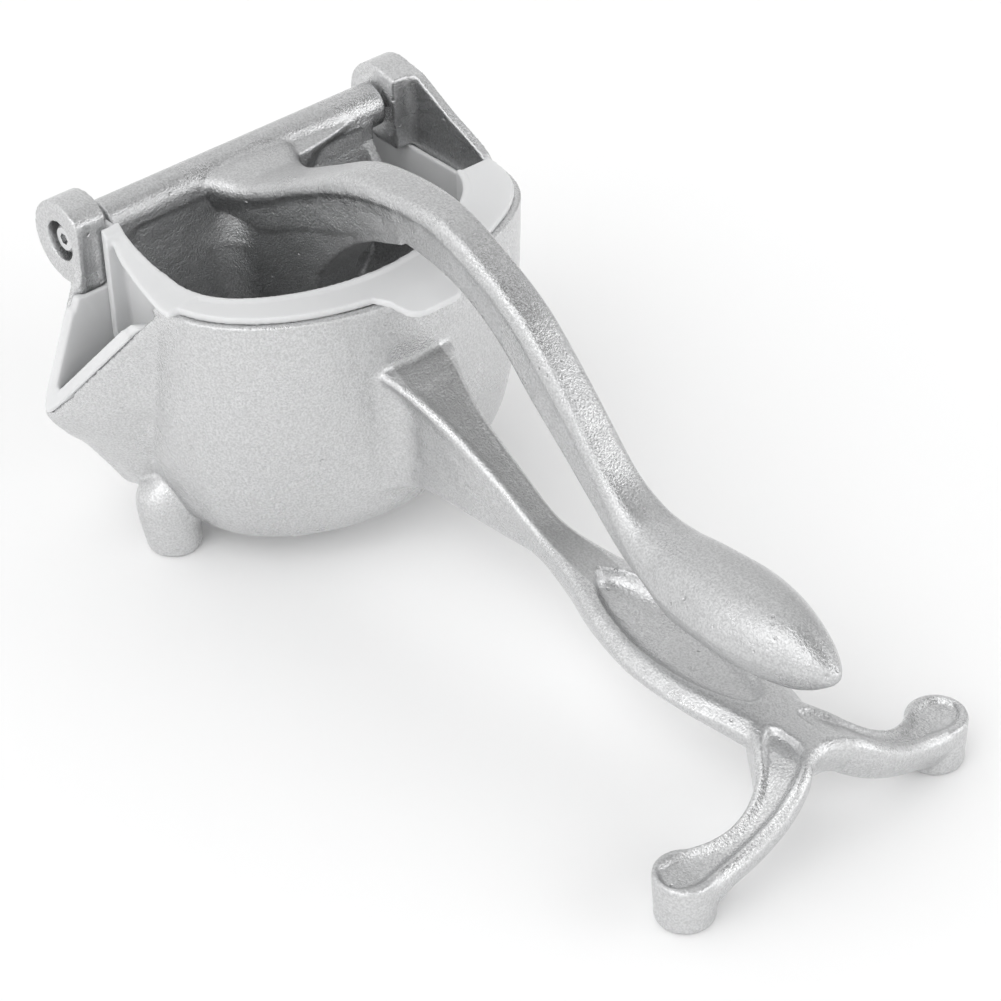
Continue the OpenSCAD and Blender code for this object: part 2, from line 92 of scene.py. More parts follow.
# Ears, hinge bar, bolt and feet
EAR_R = 11.6
EAR_FLOOR = 82.7
EAR_FRONT = 8.8
ROLL_R = 6.4
BOLT_R = 2.5
RECESS_R = 5.7
RECESS_DEPTH = 5.5
FOOT_X = 230.0
FOOT_Y = 43.5
FOOT_R = 8.3
ARM_HALF = 6.1
GRIP_HALF = 14.1

# Basket, and the press head that swings through it
BASKET_WALL = 1.6
BASKET_HALF = 46.6
BASKET_FRONT = 65.5
BASKET_BACK = 5.4
BASKET_FLOOR = 19.0
BASKET_TOP = RIM_Z + 2.6
BASKET_NOSE = 60.0
BASKET_SHARP = (14, 10)
HEAD_WALL = 3.6
HEAD_HALF = BASKET_HALF - 3.5
HEAD_REACH = BASKET_FRONT - 2.0
HEAD_NOSE = BASKET_NOSE - 2.0
HEEL = 1.8
LIP = 7.0

# Liner
LINER_WALL = 1.4
LINER_GAP = 0.3
LINER_TOP = 82.3
LINER_LIP = 1.2

# Middle of the outlines, the point that they shrink towards, and a length beyond every piece
OUTLINE_X = 24.0
SHRINK_X = 12.0
FAR = 200.0


# Shape helpers


def select_only(obj):
    """Makes obj the selected and active object."""
    bpy.ops.object.select_all(action="DESELECT")
    obj.select_set(True)
    bpy.context.view_layer.objects.active = obj


def stations(rows, steps):
    """Smooth curve through rows of numbers."""
    rows = np.array(rows, float)
    last = len(rows) - 1
    out = []
    for i in range(last):
        a, b, c, d = rows[max(i - 1, 0)], rows[i], rows[i + 1], rows[min(i + 2, last)]
        for k in range(steps):
            t = k / steps
            out.append(0.5 * (2 * b + (c - a) * t + (2 * a - 5 * b + 4 * c - d) * t * t
                              + (3 * b - a - 3 * c + d) * t ** 3))
    out.append(rows[-1])
    return np.array(out)


CORNER_SHARE = 0.46


def rounded(ring, reach, steps=4):
    """Closed ring with each corner replaced by a short curve that starts reach away from it."""
    ring = np.array(ring, float)
    before = np.roll(ring, 1, axis=0) - ring
    after = np.roll(ring, -1, axis=0) - ring
    length_before = np.linalg.norm(before, axis=1)[:, None]
    length_after = np.linalg.norm(after, axis=1)[:, None]
    reach = np.broadcast_to(np.array(reach, float).reshape(-1, 1), length_before.shape)
    start = ring + before / length_before * np.minimum(reach, CORNER_SHARE * length_before)
    end = ring + after / length_after * np.minimum(reach, CORNER_SHARE * length_after)
    out = []
    for k in range(steps + 1):
        t = k / steps
        out.append((1 - t) ** 2 * start + 2 * t * (1 - t) * ring + t * t * end)
    return np.stack(out, axis=1).reshape(-1, 3)


def new_object(name, points, faces):
    """Mesh object from points in millimetres, hinge axis at x = 0, placed in the frame."""
    points = np.array(points, float)
    placed = (points + DRAWING_SHIFT) * MM
    mesh = bpy.data.meshes.new(name)
    mesh.from_pydata([tuple(p) for p in placed], [], faces)
    mesh.validate()
    obj = bpy.data.objects.new(name, mesh)
    bpy.context.scene.collection.objects.link(obj)
    return obj


def loft(name, rings):
    """Closed solid through a row of rings of equal length, with flat ends."""
    count = len(rings[0])
    faces = []
    for i in range(len(rings) - 1):
        for j in range(count):
            k = (j + 1) % count
            faces.append((i * count + j, (i + 1) * count + j, (i + 1) * count + k, i * count + k))
    faces.append(tuple(range(count)))
    faces.append(tuple((len(rings) - 1) * count + count - 1 - j for j in range(count)))
    obj = new_object(name, np.concatenate(rings), faces)
    face_out(obj)
    return obj


def face_out(obj):
    """Turns the faces of a closed piece outwards."""
    select_only(obj)
    bpy.ops.object.mode_set(mode="EDIT")
    bpy.ops.mesh.select_all(action="SELECT")
    bpy.ops.mesh.normals_make_consistent(inside=False)
    bpy.ops.object.mode_set(mode="OBJECT")


def prism(name, outline, y0, y1):
    """Prism of a side view outline, rows of [x, z], from y0 to y1."""
    rings = [np.array([[x, y, z] for x, z in outline], float) for y in (y0, y1)]
    return loft(name, rings)


def flat_plate(name, flat, z0, z1):
    """Plate of an outline seen from above, rows of [x, y], from z0 to z1."""
    rings = [np.array([[p[0], p[1], z] for p in flat], float) for z in (z0, z1)]
    return loft(name, rings)


def block(name, low, high):
    """Block between two corners."""
    side = [[low[0], low[2]], [high[0], low[2]], [high[0], high[2]], [low[0], high[2]]]
    return prism(name, side, low[1], high[1])


def circle(x, y, z, radius, count):
    """Level ring of points."""
    turn = np.linspace(0, 2 * math.pi, count, endpoint=False)
    return np.stack([x + radius * np.cos(turn), y + radius * np.sin(turn), np.full(count, z)], axis=1)


def round_bar(name, x, z, radius, y0, y1, count):
    """Round bar along the hinge direction."""
    turn = np.linspace(0, 2 * math.pi, count, endpoint=False)
    ring = np.stack([x + radius * np.cos(turn), z + radius * np.sin(turn)], axis=1)
    return prism(name, ring, y0, y1)


def apply_modifier(obj, kind, **values):
    """Gives obj one modifier and applies it."""
    select_only(obj)
    modifier = obj.modifiers.new(kind.title(), kind)
    for key, value in values.items():
        setattr(modifier, key, value)
    bpy.ops.object.modifier_apply(modifier=modifier.name)


def combine(obj, tool, operation):
    """Joins, cuts or intersects obj with tool, which is used up."""
    apply_modifier(obj, "BOOLEAN", operation=operation, solver="MANIFOLD", object=tool)
    bpy.data.objects.remove(tool)


def remesh(obj, voxel):
    """Rebuilds obj from even cells, which also rounds its edges a little."""
    apply_modifier(obj, "REMESH", mode="VOXEL", voxel_size=voxel * MM, use_smooth_shade=True)


def drawn_points(obj):
    """Points of an object in the drawing's millimetres."""
    count = len(obj.data.vertices)
    flat = np.empty(count * 3)
    obj.data.vertices.foreach_get("co", flat)
    return flat.reshape(-1, 3) / MM - DRAWING_SHIFT


SHARE_STEPS = 20


def soften(obj, passes, share=None):
    """Smooths obj; share gives each point's part, from 0 to 1."""
    values = {"factor": 0.5, "iterations": passes}
    if share is not None:
        group = obj.vertex_groups.new(name="soft")
        levels = np.round(np.clip(share, 0, 1) * SHARE_STEPS).astype(int)
        for level in range(1, SHARE_STEPS + 1):
            chosen = np.nonzero(levels == level)[0]
            if len(chosen):
                group.add(chosen.tolist(), level / SHARE_STEPS, "REPLACE")
        values["vertex_group"] = "soft"
    apply_modifier(obj, "SMOOTH", **values)
    if share is not None:
        obj.vertex_groups.clear()


def keep_in_box(obj):
    """Holds the points of obj within the box of the CAD solids."""
    low = np.array(cad_low) / MM - DRAWING_SHIFT
    high = np.array(cad_high) / MM - DRAWING_SHIFT
    points = np.clip(drawn_points(obj), low, high) + DRAWING_SHIFT
    obj.data.vertices.foreach_set("co", (points * MM).ravel())
    obj.data.update()


def thin_out(obj, most):
    """Reduces obj to at most that many triangles."""
    obj.data.calc_loop_triangles()
    now = len(obj.data.loop_triangles)
    if now > most:
        apply_modifier(obj, "DECIMATE", decimate_type="COLLAPSE", ratio=most / now)


def finish_piece(obj, name, body, node, material):
    """Names the piece, gives it its material, ties it to its body and hides its CAD node."""
    keep_in_box(obj)
    obj.name = name
    obj.data.name = name
    obj.data.materials.clear()
    obj.data.materials.append(material)
    select_only(obj)
    bpy.ops.object.shade_smooth()
    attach(obj, body)
    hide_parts(node)


def band(value, middle, half, width):
    """Share that is 1 within half of the middle and falls off over the width."""
    return np.exp(-(np.maximum(np.abs(value - middle) - half, 0) / width) ** 2)


# Outlines of the cup and basket


def arc_reach(turn, front, nose):
    """Distance from the middle of an outline to the arc of its front."""
    c = front - nose - OUTLINE_X
    return c * np.cos(turn) + np.sqrt(np.maximum(nose * nose - (c * np.sin(turn)) ** 2, 0))


OUTLINE_POINTS = 240


def outline(half, front, back, nose_near, nose_far, sharp, narrow=0.0):
    """Rounded D outline seen from above, rows of [x, y]; sharp holds the powers of its corners."""
    turn = np.linspace(0, 2 * math.pi, OUTLINE_POINTS, endpoint=False)
    nose = np.where(np.sin(turn) < 0, nose_near, nose_far)
    reach = arc_reach(turn, front, nose)
    side = np.where(np.sin(turn) < 0, half - narrow, half) / np.maximum(np.abs(np.sin(turn)), 0.001)
    rear = (OUTLINE_X + back) / np.maximum(-np.cos(turn), 0.001)
    mix = np.clip((np.cos(turn) + 0.3) / 0.6, 0, 1)
    mix = mix * mix * (3 - 2 * mix)
    power = sharp[1] + (sharp[0] - sharp[1]) * mix
    radius = (reach ** -power + side ** -power + rear ** -power) ** (-1 / power)
    return np.stack([OUTLINE_X + radius * np.cos(turn), radius * np.sin(turn)], axis=1)


def ring_at(flat, scale, z):
    """The outline shrunk towards a point on its axis, at a height."""
    x = SHRINK_X + scale * (flat[:, 0] - SHRINK_X)
    return np.stack([x, scale * flat[:, 1], np.full(len(flat), z)], axis=1)


# rows of [share of the height, share of the full outline]
BOWL = stations([[0, 0.44], [0.015, 0.57], [0.05, 0.72], [0.12, 0.835], [0.23, 0.905], [0.40, 0.95],
                 [0.60, 0.975], [0.80, 0.99], [1, 1]], 5)
LID_SCALE = 1.005


def bowl(name, flat, z0, z1, lid):
    """Bowl under an outline, from its floor z0 to its rim z1, with a straight lid above the rim."""
    rings = [ring_at(flat, scale, z0 + share * (z1 - z0)) for share, scale in BOWL]
    rings.append(ring_at(flat, LID_SCALE, z1 + lid))
    return loft(name, rings)


def cup_outline(inset):
    """Outline of the cup, set in by inset."""
    return outline(EAR_HALF - inset, CUP_FRONT - inset, CUP_BACK - inset, CUP_NEAR - inset,
                   CUP_NOSE - inset, CUP_SHARP, CUP_NARROW)


def cup_solid(name, inset, lid):
    """Solid of the cup, set in by inset."""
    return bowl(name, cup_outline(inset), CUP_FLOOR + inset, RIM_Z, lid)


# Spout and its mouth

SPOUT_X = 5.5
# rows of [height, reach of the keel towards the near side]
KEEL = stations([[12, 46], [16, 52], [20, 54.8], [26, 58.4], [35, 64.2], [41, 69.5], [48, 74.2],
                 [54, 75.8], [70, 78], [108, 84]], 6)
# rows of [height, x and reach of the crease between spout and cup]
CREASE = np.array([[12, 16, 45.5], [23, 19.5, 52.4], [54, 30, 55.2], [89, 40, 54.6], [108, 46, 54.6]])


def spout_ring(z, inset):
    """Level section of the spout, set in by inset."""
    k = np.interp(z, KEEL[:, 0], KEEL[:, 1]) - 1.25 * inset
    c = np.interp(z, CREASE[:, 0], CREASE[:, 1]) - 0.5 * inset
    e = np.interp(z, CREASE[:, 0], CREASE[:, 2]) - inset
    x = SPOUT_X + inset
    corners = [[x, -30, z], [x, -k + 3, z], [x + 0.9, -k + 0.9, z], [x + 3, -k, z], [x + 5.4, -k + 1.4, z],
               [(x + c) / 2 + 3, (-k - e) / 2 - 0.2, z], [c, -e, z], [c + 6, -e + 4, z], [c + 6, -30, z]]
    reach = [0.1, 1.2, 1.2, 1.2, 1.2, 9, 3.5, 1, 0.1]
    return rounded(corners, reach)


def spout_solid(name, inset, z0):
    """Solid of the spout from z0 upwards, set in by inset."""
    heights = [z0] + [z for z in KEEL[:, 0] if z > z0 + 0.4]
    return loft(name, [spout_ring(z, inset) for z in heights])


MOUTH_POINT = Vector((SPOUT_X + 1.5, -EAR_HALF, RIM_Z - 1))
MOUTH_TILT = math.radians(68.5)
MOUTH_TURN = math.radians(-81.6)
MOUTH_ROTATION = Matrix.Rotation(MOUTH_TURN, 3, "Z") @ Matrix.Rotation(MOUTH_TILT, 3, "Y")
MOUTH_NORMAL = np.array(MOUTH_ROTATION @ Vector((0, 0, 1)))


def above_mouth(name, lift):
    """Everything on the open side of the plane of the spout mouth."""
    rings = []
    for z in (lift, lift + 100):
        corners = [(-100, -100, z), (100, -100, z), (100, 100, z), (-100, 100, z)]
        rings.append(np.array([list(MOUTH_ROTATION @ Vector(c) + MOUTH_POINT) for c in corners]))
    return loft(name, rings)


# heights between which the mouth crosses the spout's wall, and points along each side of a section
MOUTH_HEIGHTS = np.linspace(30, 92, 125)
MOUTH_SPLIT = 6


def mouth_path(inset, lift=0.0):
    """Points where the spout's wall, set in by inset, crosses the plane of the mouth moved by lift."""
    sheets = []
    for z in MOUTH_HEIGHTS:
        ring = spout_ring(z, inset)
        share = np.linspace(0, 1, MOUTH_SPLIT, endpoint=False)[None, :, None]
        after = np.roll(ring, -1, axis=0)
        sheets.append((ring[:, None] * (1 - share) + after[:, None] * share).reshape(-1, 3))
    sheets = np.array(sheets)
    above = (sheets - np.array(MOUTH_POINT)) @ MOUTH_NORMAL - lift
    path = []
    for j in range(sheets.shape[1]):
        order = np.argsort(above[:, j])
        path.append([np.interp(0, above[order, j], sheets[order, j, k]) for k in range(3)])
    return np.array(path)


LIP_OUT = 1.2
LIP_IN = 4.5
LIP_TOP = RIM_Z - 10.0
MOUTH_TOP = RIM_Z - 2.0
MOUTH_STEP = 0.5
MOUTH_BACK_Y = -53
FUNNEL_DEPTH = 9.0


def mouth_frame():
    """Edge of the mouth at even steps, its places among the wall's points, and the directions across it."""
    path = mouth_path(0.0)
    keep = np.nonzero((path[:, 1] < MOUTH_BACK_Y) & (path[:, 2] < MOUTH_TOP))[0]
    line = path[keep]
    length = np.concatenate([[0], np.cumsum(np.linalg.norm(np.diff(line, axis=0), axis=1))])
    marks = np.linspace(0, length[-1], int(length[-1] / MOUTH_STEP))
    place = np.interp(marks, length, keep)
    line = np.stack([np.interp(marks, length, line[:, k]) for k in range(3)], axis=1)
    along = np.gradient(line, axis=0)
    for _ in range(4):
        along[1:-1] = (along[:-2] + along[1:-1] + along[2:]) / 3
    across = np.cross(MOUTH_NORMAL, along)
    across /= np.linalg.norm(across, axis=1)[:, None]
    middle = line.mean(axis=0)
    if ((middle - line) * across).sum() < 0:
        across = -across
    return line, place, across


def mouth_line(inset):
    """Edge of the mouth, moved inwards by inset in its plane."""
    line, _place, across = mouth_frame()
    return line + inset * across


def mouth_funnel(name, edge, inset):
    """Solid of the funnel under the mouth: set in by edge at the mouth and by inset deeper in the spout."""
    line, place, across = mouth_frame()
    deep = mouth_path(inset, -FUNNEL_DEPTH)
    index = np.arange(len(deep))
    low = np.stack([np.interp(place, index, deep[:, k]) for k in range(3)], axis=1)
    top = line + edge * across
    middle = 0.62 * top + 0.38 * low - 0.4 * MOUTH_NORMAL
    return loft(name, [low, middle, top, top + 3 * MOUTH_NORMAL])


# Lower casting

# rows of [share, half width, top z, bottom z, bevel], the share counted from the cup front to the feet
HANDLE = [[-0.13, 13, 68.6, 18, 1.2], [-0.05, 13, 68.6, 24, 1.2], [0, 12.6, 68.2, 27, 1.2],
          [0.026, 11, 66.2, 28.8, 1.2], [0.053, 9.4, 64, 29.4, 1.2], [0.086, 7.8, 61.3, 30, 1.2],
          [0.118, 6.7, 58.6, 30.4, 1.2], [0.17, 5.7, 54.9, 30.8, 1.2], [0.25, 4.9, 49.2, 31, 1.2],
          [0.342, 4.9, 42.4, 31.5, 1.3], [0.441, 7.6, 39.5, 29, 1.5], [0.54, 12.5, 37, 28, 1.8],
          [0.658, 15.8, 34.6, 27, 2.2], [0.77, 15, 33, 26, 2.4], [0.849, 12, 32, 24, 2.4],
          [0.914, 9.7, 31.2, 22.5, 2.4], [0.96, 8.2, 31.2, 21, 2.4]]
HANDLE_TOP = np.array([[row[0], row[2]] for row in HANDLE])
# rows of [share, half width, height of the dish's floor]
DISH = [[0.474, 2, 37.5], [0.493, 4.5, 34.5], [0.54, 8, 32.5], [0.638, 11, 30.5], [0.737, 10.6, 29.8],
        [0.81, 7.8, 29.8], [0.855, 4.2, 30.5], [0.875, 1.5, 33]]
# rows of [share, half width, depth below the handle's top]
CHANNEL = [[0.03, 8.2, -0.6], [0.045, 7.8, 0.4], [0.07, 6.8, 0.7], [0.118, 5.2, 0.7], [0.17, 4.5, 0.7],
           [0.25, 3.8, 0.7], [0.342, 3.8, 0.7], [0.4, 4.5, 0.4], [0.44, 5.1, -0.3]]
# rows of [y, back x, front x, top z, bottom z], x measured from the foot centre
FORK_HALF = [[0, -21, 3.4, 31.2, 18.6], [5, -19.5, 4.8, 31.2, 18.2], [8, -15.5, 7, 30.6, 16.6],
             [12, -9.5, 8.5, 28.6, 14.2], [16, -4.6, 9.1, 25.6, 12], [21, -2, 9.2, 22.2, 9.4],
             [27, -1.4, 8.9, 19, 6.8], [33, -3, 8.5, 16.8, 4.6], [38, -5.4, 8.5, 15.8, 2],
             [42, -7, 8.3, 15.2, 1]]
FORK = [[-row[0]] + row[1:] for row in reversed(FORK_HALF[1:])] + FORK_HALF
FORK_TOP = np.array([[row[0], row[3]] for row in FORK_HALF])
# rows of [y, back x, front x], x measured from the foot centre
POCKET = [[3.8, -9.5, -1.5], [5, -11.5, 1.2], [8, -10.4, 3.6], [11, -7.2, 5], [15, -3, 6], [20, -0.4, 6.4],
          [26, 0.2, 6], [32, -1, 5.6], [36, -3, 5.6], [40, -5.2, 5.8], [44, -6.4, 6], [47, -6, 5.2],
          [49, -4.4, 3.6], [50.2, -1.5, 1.5]]
POCKET_DEPTH = 1.8


def handle_x(share):
    """Place along the press at a share of the handle's length."""
    return CUP_FRONT + share * (FOOT_X - CUP_FRONT)


WEB_FOOT = 5.6
ROOT_R = 8.0
ROOT_END = 0.2


def root_half(x, z):
    """Half width of the handle's web at a height, with a round fillet where it leaves the cup."""
    scale = np.interp((z - CUP_FLOOR) / (RIM_Z - CUP_FLOOR), BOWL[:, 0], BOWL[:, 1])
    cup_x = SHRINK_X + scale * (CUP_FRONT - SHRINK_X) - 1.0
    away = min(max(x - cup_x, 0), ROOT_R)
    return WEB_FOOT + ROOT_R - math.sqrt(ROOT_R ** 2 - (ROOT_R - away) ** 2)


def handle_ring(row):
    """Section of the handle; near the cup the top flares out over a narrower web."""
    share, w, top, low, bevel = row
    x = handle_x(share)
    heights = [low, low + 2, (top + low) / 2, top - 0.2 * (top - low)]
    webs = [min(w, root_half(x, z)) if share < ROOT_END else w for z in heights]
    flare = w - webs[3]
    side = [[webs[0] - 2.4, heights[0]], [webs[1] - 0.6, heights[1]], [webs[2], heights[2]],
            [webs[3] + 0.15 * flare, heights[3]], [w - 0.35 * flare, top - bevel - 2.2], [w, top - bevel],
            [w - 1.5 * bevel, top]]
    corners = [[x, y, z] for y, z in side] + [[x, -y, z] for y, z in reversed(side)]
    reach = [1.2, 1.2, 4, 4, 2, 0.7, 0.9]
    return rounded(corners, reach + reach[::-1])


def handle_solid():
    """Lower handle from inside the cup to the fork."""
    return loft("handle", [handle_ring(row) for row in stations(HANDLE, 8)])


def handle_dish():
    """Tool for the long dish in the top of the handle."""
    rings = []
    for share, w, z in stations(DISH, 8):
        x = handle_x(share)
        corners = [[x, -w * 0.6, z], [x, w * 0.6, z], [x, w, z + 4], [x, w + 0.5, z + 18],
                   [x, -w - 0.5, z + 18], [x, -w, z + 4]]
        rings.append(rounded(corners, [3, 3, 2, 0.1, 0.1, 2]))
    return loft("dish", rings)


def handle_channel():
    """Tool for the shallow channel between cup and dish."""
    rings = []
    for share, w, depth in stations(CHANNEL, 8):
        x = handle_x(share)
        z = np.interp(share, HANDLE_TOP[:, 0], HANDLE_TOP[:, 1]) - depth
        corners = [[x, -w + 1, z], [x, w - 1, z], [x, w + 0.5, z + 4], [x, -w - 0.5, z + 4]]
        rings.append(rounded(corners, [1, 1, 0.1, 0.1]))
    return loft("channel", rings)


def fork_bar():
    """Bar of the fork from one foot to the other."""
    rings = []
    for y, back, front, t, low in stations(FORK, 6):
        b = FOOT_X + back
        f = FOOT_X + front
        m = (2 * t + low) / 3
        corners = [[f - 4, y, low], [b + 2, y, low], [b, y, low + 2], [b, y, t - 1], [b + 1, y, t],
                   [f - 2, y, t], [f, y, t - 2.2], [f - 0.4, y, m - 2]]
        rings.append(rounded(corners, [1.5, 1, 1, 0.5, 0.5, 0.7, 0.9, 1.5]))
    return loft("fork", rings)


def fork_pocket(side):
    """Pocket in the top of a branch, with a step half way down its walls."""
    rings = []
    for y, back, front in stations(POCKET, 6):
        b = FOOT_X + back
        f = FOOT_X + front
        z = np.interp(y, FORK_TOP[:, 0], FORK_TOP[:, 1]) - POCKET_DEPTH
        step = min(0.9, 0.2 * (f - b))
        corners = [[f - 2 * step, side * y, z], [b + 2 * step, side * y, z], [b + step, side * y, z + 0.9],
                   [b + 0.1, side * y, z + 1.1], [b - 0.6, side * y, z + 6], [f + 0.6, side * y, z + 6],
                   [f - 0.1, side * y, z + 1.1], [f - step, side * y, z + 0.9]]
        rings.append(rounded(corners, [0.6, 0.6, 0.2, 0.2, 0.1, 0.1, 0.2, 0.2]))
    return loft("pocket", rings)


ROUND_POINTS = 72
# rows of [height, how much smaller the foot's radius is there]
FOOT_ROWS = [[0, 1.6], [0.4, 1.0], [1.2, 0.5], [14.2, 0], [15, 0.6]]


def foot(side):
    """Round foot at the end of a branch."""
    y = side * FOOT_Y
    return loft("foot", [circle(FOOT_X, y, z, FOOT_R - inward, ROUND_POINTS) for z, inward in FOOT_ROWS])


PEG_X = 22.6
PEG_Y = 47.3
PEG_R = 7.9
# rows of [height, how much smaller the radius is there, how far the outer side leans out]
PEG_ROWS = [[0, 1.6, 0], [0.6, 0.6, 0], [1.8, 0, 0], [12, -0.4, 1.5], [18, -0.4, 1.8], [22, 0.6, 0.6],
            [26, 2.4, -2]]


def peg(side):
    """Rear peg under the cup, whose outer side leans out as it rises."""
    out = np.sin(np.linspace(0, 2 * math.pi, ROUND_POINTS, endpoint=False))
    rings = []
    for z, inward, lean in stations(PEG_ROWS, 4):
        ring = circle(PEG_X, side * PEG_Y, z, PEG_R - inward, ROUND_POINTS)
        ring[:, 1] += np.where(side * out > 0, side * lean, 0) * np.abs(out)
        rings.append(ring)
    return loft("peg", rings)


# side views, rows of [x, z], of what is cut off above the far and near halves of the body
FAR_LINE = [[-40, 84], [2, 84], [2, 106], [10.5, 104.8], [24, 97.6], [39, 91.4], [40.6, RIM_Z],
            [FAR, RIM_Z], [FAR, FAR], [-40, FAR]]
NEAR_LINE = [[-40, RIM_Z], [FAR, RIM_Z], [FAR, FAR], [-40, FAR]]


def ear(side):
    """Hinge ear: a disc with a flat front and a straight foot."""
    y = side * (EAR_HALF - EAR_THICK / 2)
    y0 = y - EAR_THICK / 2
    y1 = y + EAR_THICK / 2
    disc = round_bar("ear", 0, HINGE_Z, EAR_R, y0, y1, 144)
    combine(disc, block("ear_front", [EAR_FRONT, -FAR, 0], [FAR, FAR, FAR]), "DIFFERENCE")
    combine(disc, block("ear_foot", [-1, y0, EAR_FLOOR], [EAR_FRONT, y1, HINGE_Z]), "UNION")
    return disc


SEAT_INNER = EAR_HALF - RECESS_DEPTH
BORE_R = BOLT_R + 0.06
# side view of what joins the far ear's disc to its flat front
SHOULDER = [[-2, HINGE_Z], [EAR_FRONT, HINGE_Z], [EAR_FRONT, 105], [0, HINGE_Z + EAR_R - 0.05],
            [-2, HINGE_Z + EAR_R - 0.4]]
# heights at which the tools of the spout start, and how far those of cup and spout reach above the rim
SPOUT_START = 12
THROAT_START = 18
CUP_LID = 18
HOLLOW_LID = 30
FUNNEL_EDGE = 1.8


def body_casting():
    """Cup, spout, handle, fork, feet, pegs and ears of the lower casting, as one closed mesh."""
    inner = EAR_HALF - EAR_THICK
    cast = cup_solid("cast", 0, CUP_LID)
    combine(cast, spout_solid("spout", 0, SPOUT_START), "UNION")
    combine(cast, handle_solid(), "UNION")
    for side in (-1, 1):
        combine(cast, peg(side), "UNION")
    combine(cast, cup_solid("hollow", CUP_WALL, HOLLOW_LID), "DIFFERENCE")
    combine(cast, spout_solid("throat", CUP_WALL, THROAT_START), "DIFFERENCE")
    combine(cast, mouth_funnel("funnel", FUNNEL_EDGE, CUP_WALL), "DIFFERENCE")
    combine(cast, above_mouth("mouth", 0), "DIFFERENCE")
    combine(cast, prism("far_top", FAR_LINE, 0, FAR), "DIFFERENCE")
    combine(cast, prism("near_top", NEAR_LINE, -FAR, 0.01), "DIFFERENCE")
    for side in (-1, 1):
        combine(cast, ear(side), "UNION")
    combine(cast, prism("shoulder", SHOULDER, inner, EAR_HALF), "UNION")
    combine(cast, far_fillet(), "UNION")
    combine(cast, fork_bar(), "UNION")
    for side in (-1, 1):
        combine(cast, foot(side), "UNION")
    combine(cast, block("between_ears", [-40, -inner, 80], [5, inner, 140]), "DIFFERENCE")
    combine(cast, handle_dish(), "DIFFERENCE")
    combine(cast, handle_channel(), "DIFFERENCE")
    for side in (-1, 1):
        combine(cast, fork_pocket(side), "DIFFERENCE")
    combine(cast, round_bar("bore", 0, HINGE_Z, BORE_R, -FAR, FAR, 48), "DIFFERENCE")
    for side in (-1, 1):
        y0, y1 = sorted((side * SEAT_INNER, side * FAR))
        combine(cast, round_bar("recess", 0, HINGE_Z, RECESS_R, y0, y1, 72), "DIFFERENCE")
    combine(cast, ear_cove(), "DIFFERENCE")
    return cast


COVE_IN = 4.0
# rows of [height, radius, distance of the centre in front of the ear]
COVE = [[EAR_FLOOR - 4, 4.6, 3.6], [92, 4.6, 3.6], [98, 4.4, 3.7], [102, 4.0, 3.9]]


def ear_cove():
    """Tool for the upright cove in the front of the near ear, beside its outer edge."""
    y = -EAR_HALF + COVE_IN
    return loft("cove", [circle(EAR_FRONT + out, y, z, r, 40) for z, r, out in COVE])


FILLET_R = 3.2
FILLET_TOP = 104.4


def far_fillet():
    """Hollow fillet where the front of the far ear meets the far wall of the cup."""
    x0 = EAR_FRONT
    y0 = EAR_HALF - CUP_WALL
    r = FILLET_R
    turn = np.linspace(math.pi, math.pi / 2, 12)
    curve = [[x0 + r + r * math.cos(a), y0 - r + r * math.sin(a)] for a in turn]
    flat = [[x0 - 1, y0 - r]] + curve + [[x0 + r, y0 + 1], [x0 - 1, y0 + 1]]
    return flat_plate("far_fillet", flat, EAR_FLOOR, FILLET_TOP)


# Lever casting

# rows of [x top, z top, x bottom, z bottom, half width, share of boss form, share of grip form]
ARM = [[1, 99, -3, 90, 18, 1, 0], [8, 100, 3, 88, 16, 1, 0], [15, 99.4, 9, 86, 12.8, 0.9, 0],
       [20, 100.8, 15, 85, 10.6, 0.6, 0], [27, 103.4, 21, 85, 9, 0.2, 0], [40.5, 110.4, 36, 92, 8, 0, 0],
       [59, 119.6, 54, 99, 7.8, 0, 0], [77, 122.4, 75.7, 108.4, 7.4, 0, 0],
       [94.8, 122.2, 88, 108.4, 6.4, 0, 0], [111.2, 116, 103, 105, ARM_HALF, 0, 0],
       [127.2, 107, 117.6, 96.9, ARM_HALF, 0, 0], [141, 94.1, 130.7, 84.5, ARM_HALF, 0, 0],
       [152, 82, 143, 73.8, ARM_HALF, 0, 0], [161, 72.4, 154.2, 63.6, 6.6, 0, 0.2],
       [170.2, 67, 165.5, 54.8, 8.4, 0, 0.6], [178.8, 66.3, 176, 49.6, 10.6, 0, 1],
       [188, 66.9, 187, 45.4, 0.9 * GRIP_HALF, 0, 1], [202, 67, 202, 45.4, GRIP_HALF, 0, 1],
       [214, 66.4, 214, 44.8, 0.9 * GRIP_HALF, 0, 1], [224, 64.6, 224, 45.6, 0.66 * GRIP_HALF, 0, 1],
       [230.5, 61.4, 230.5, 48.2, 0.46 * GRIP_HALF, 0, 1], [235, 58, 235, 51.4, 0.24 * GRIP_HALF, 0, 1],
       [236.8, 56, 236.8, 53.4, 1.4, 0, 1]]
# half sections, rows of [share of the half width, share of the depth] from the top to the bottom
ARM_FORM = [[0, 1], [0.42, 1], [0.7, 0.94], [0.88, 0.78], [0.975, 0.54], [0.995, 0.42], [0.93, 0.34],
            [0.93, 0.05], [0.93, -0.88], [0.84, -1], [0, -1]]
BOSS_FORM = [[0, 1], [0.4, 0.97], [0.7, 0.88], [0.88, 0.7], [0.97, 0.4], [0.99, 0.2], [0.99, 0.05],
             [0.98, -0.3], [0.92, -0.65], [0.7, -0.95], [0, -1]]
GRIP_FORM = [[0, 1], [0.3, 0.95], [0.55, 0.82], [0.76, 0.6], [0.92, 0.3], [1, -0.02], [0.965, -0.07],
             [0.95, -0.2], [0.8, -0.56], [0.5, -0.88], [0, -1]]
FORM_REACH = [0.1, 1.4, 1.6, 1.6, 1.2, 0.25, 0.25, 1.2, 0.8, 0.8, 0.1]


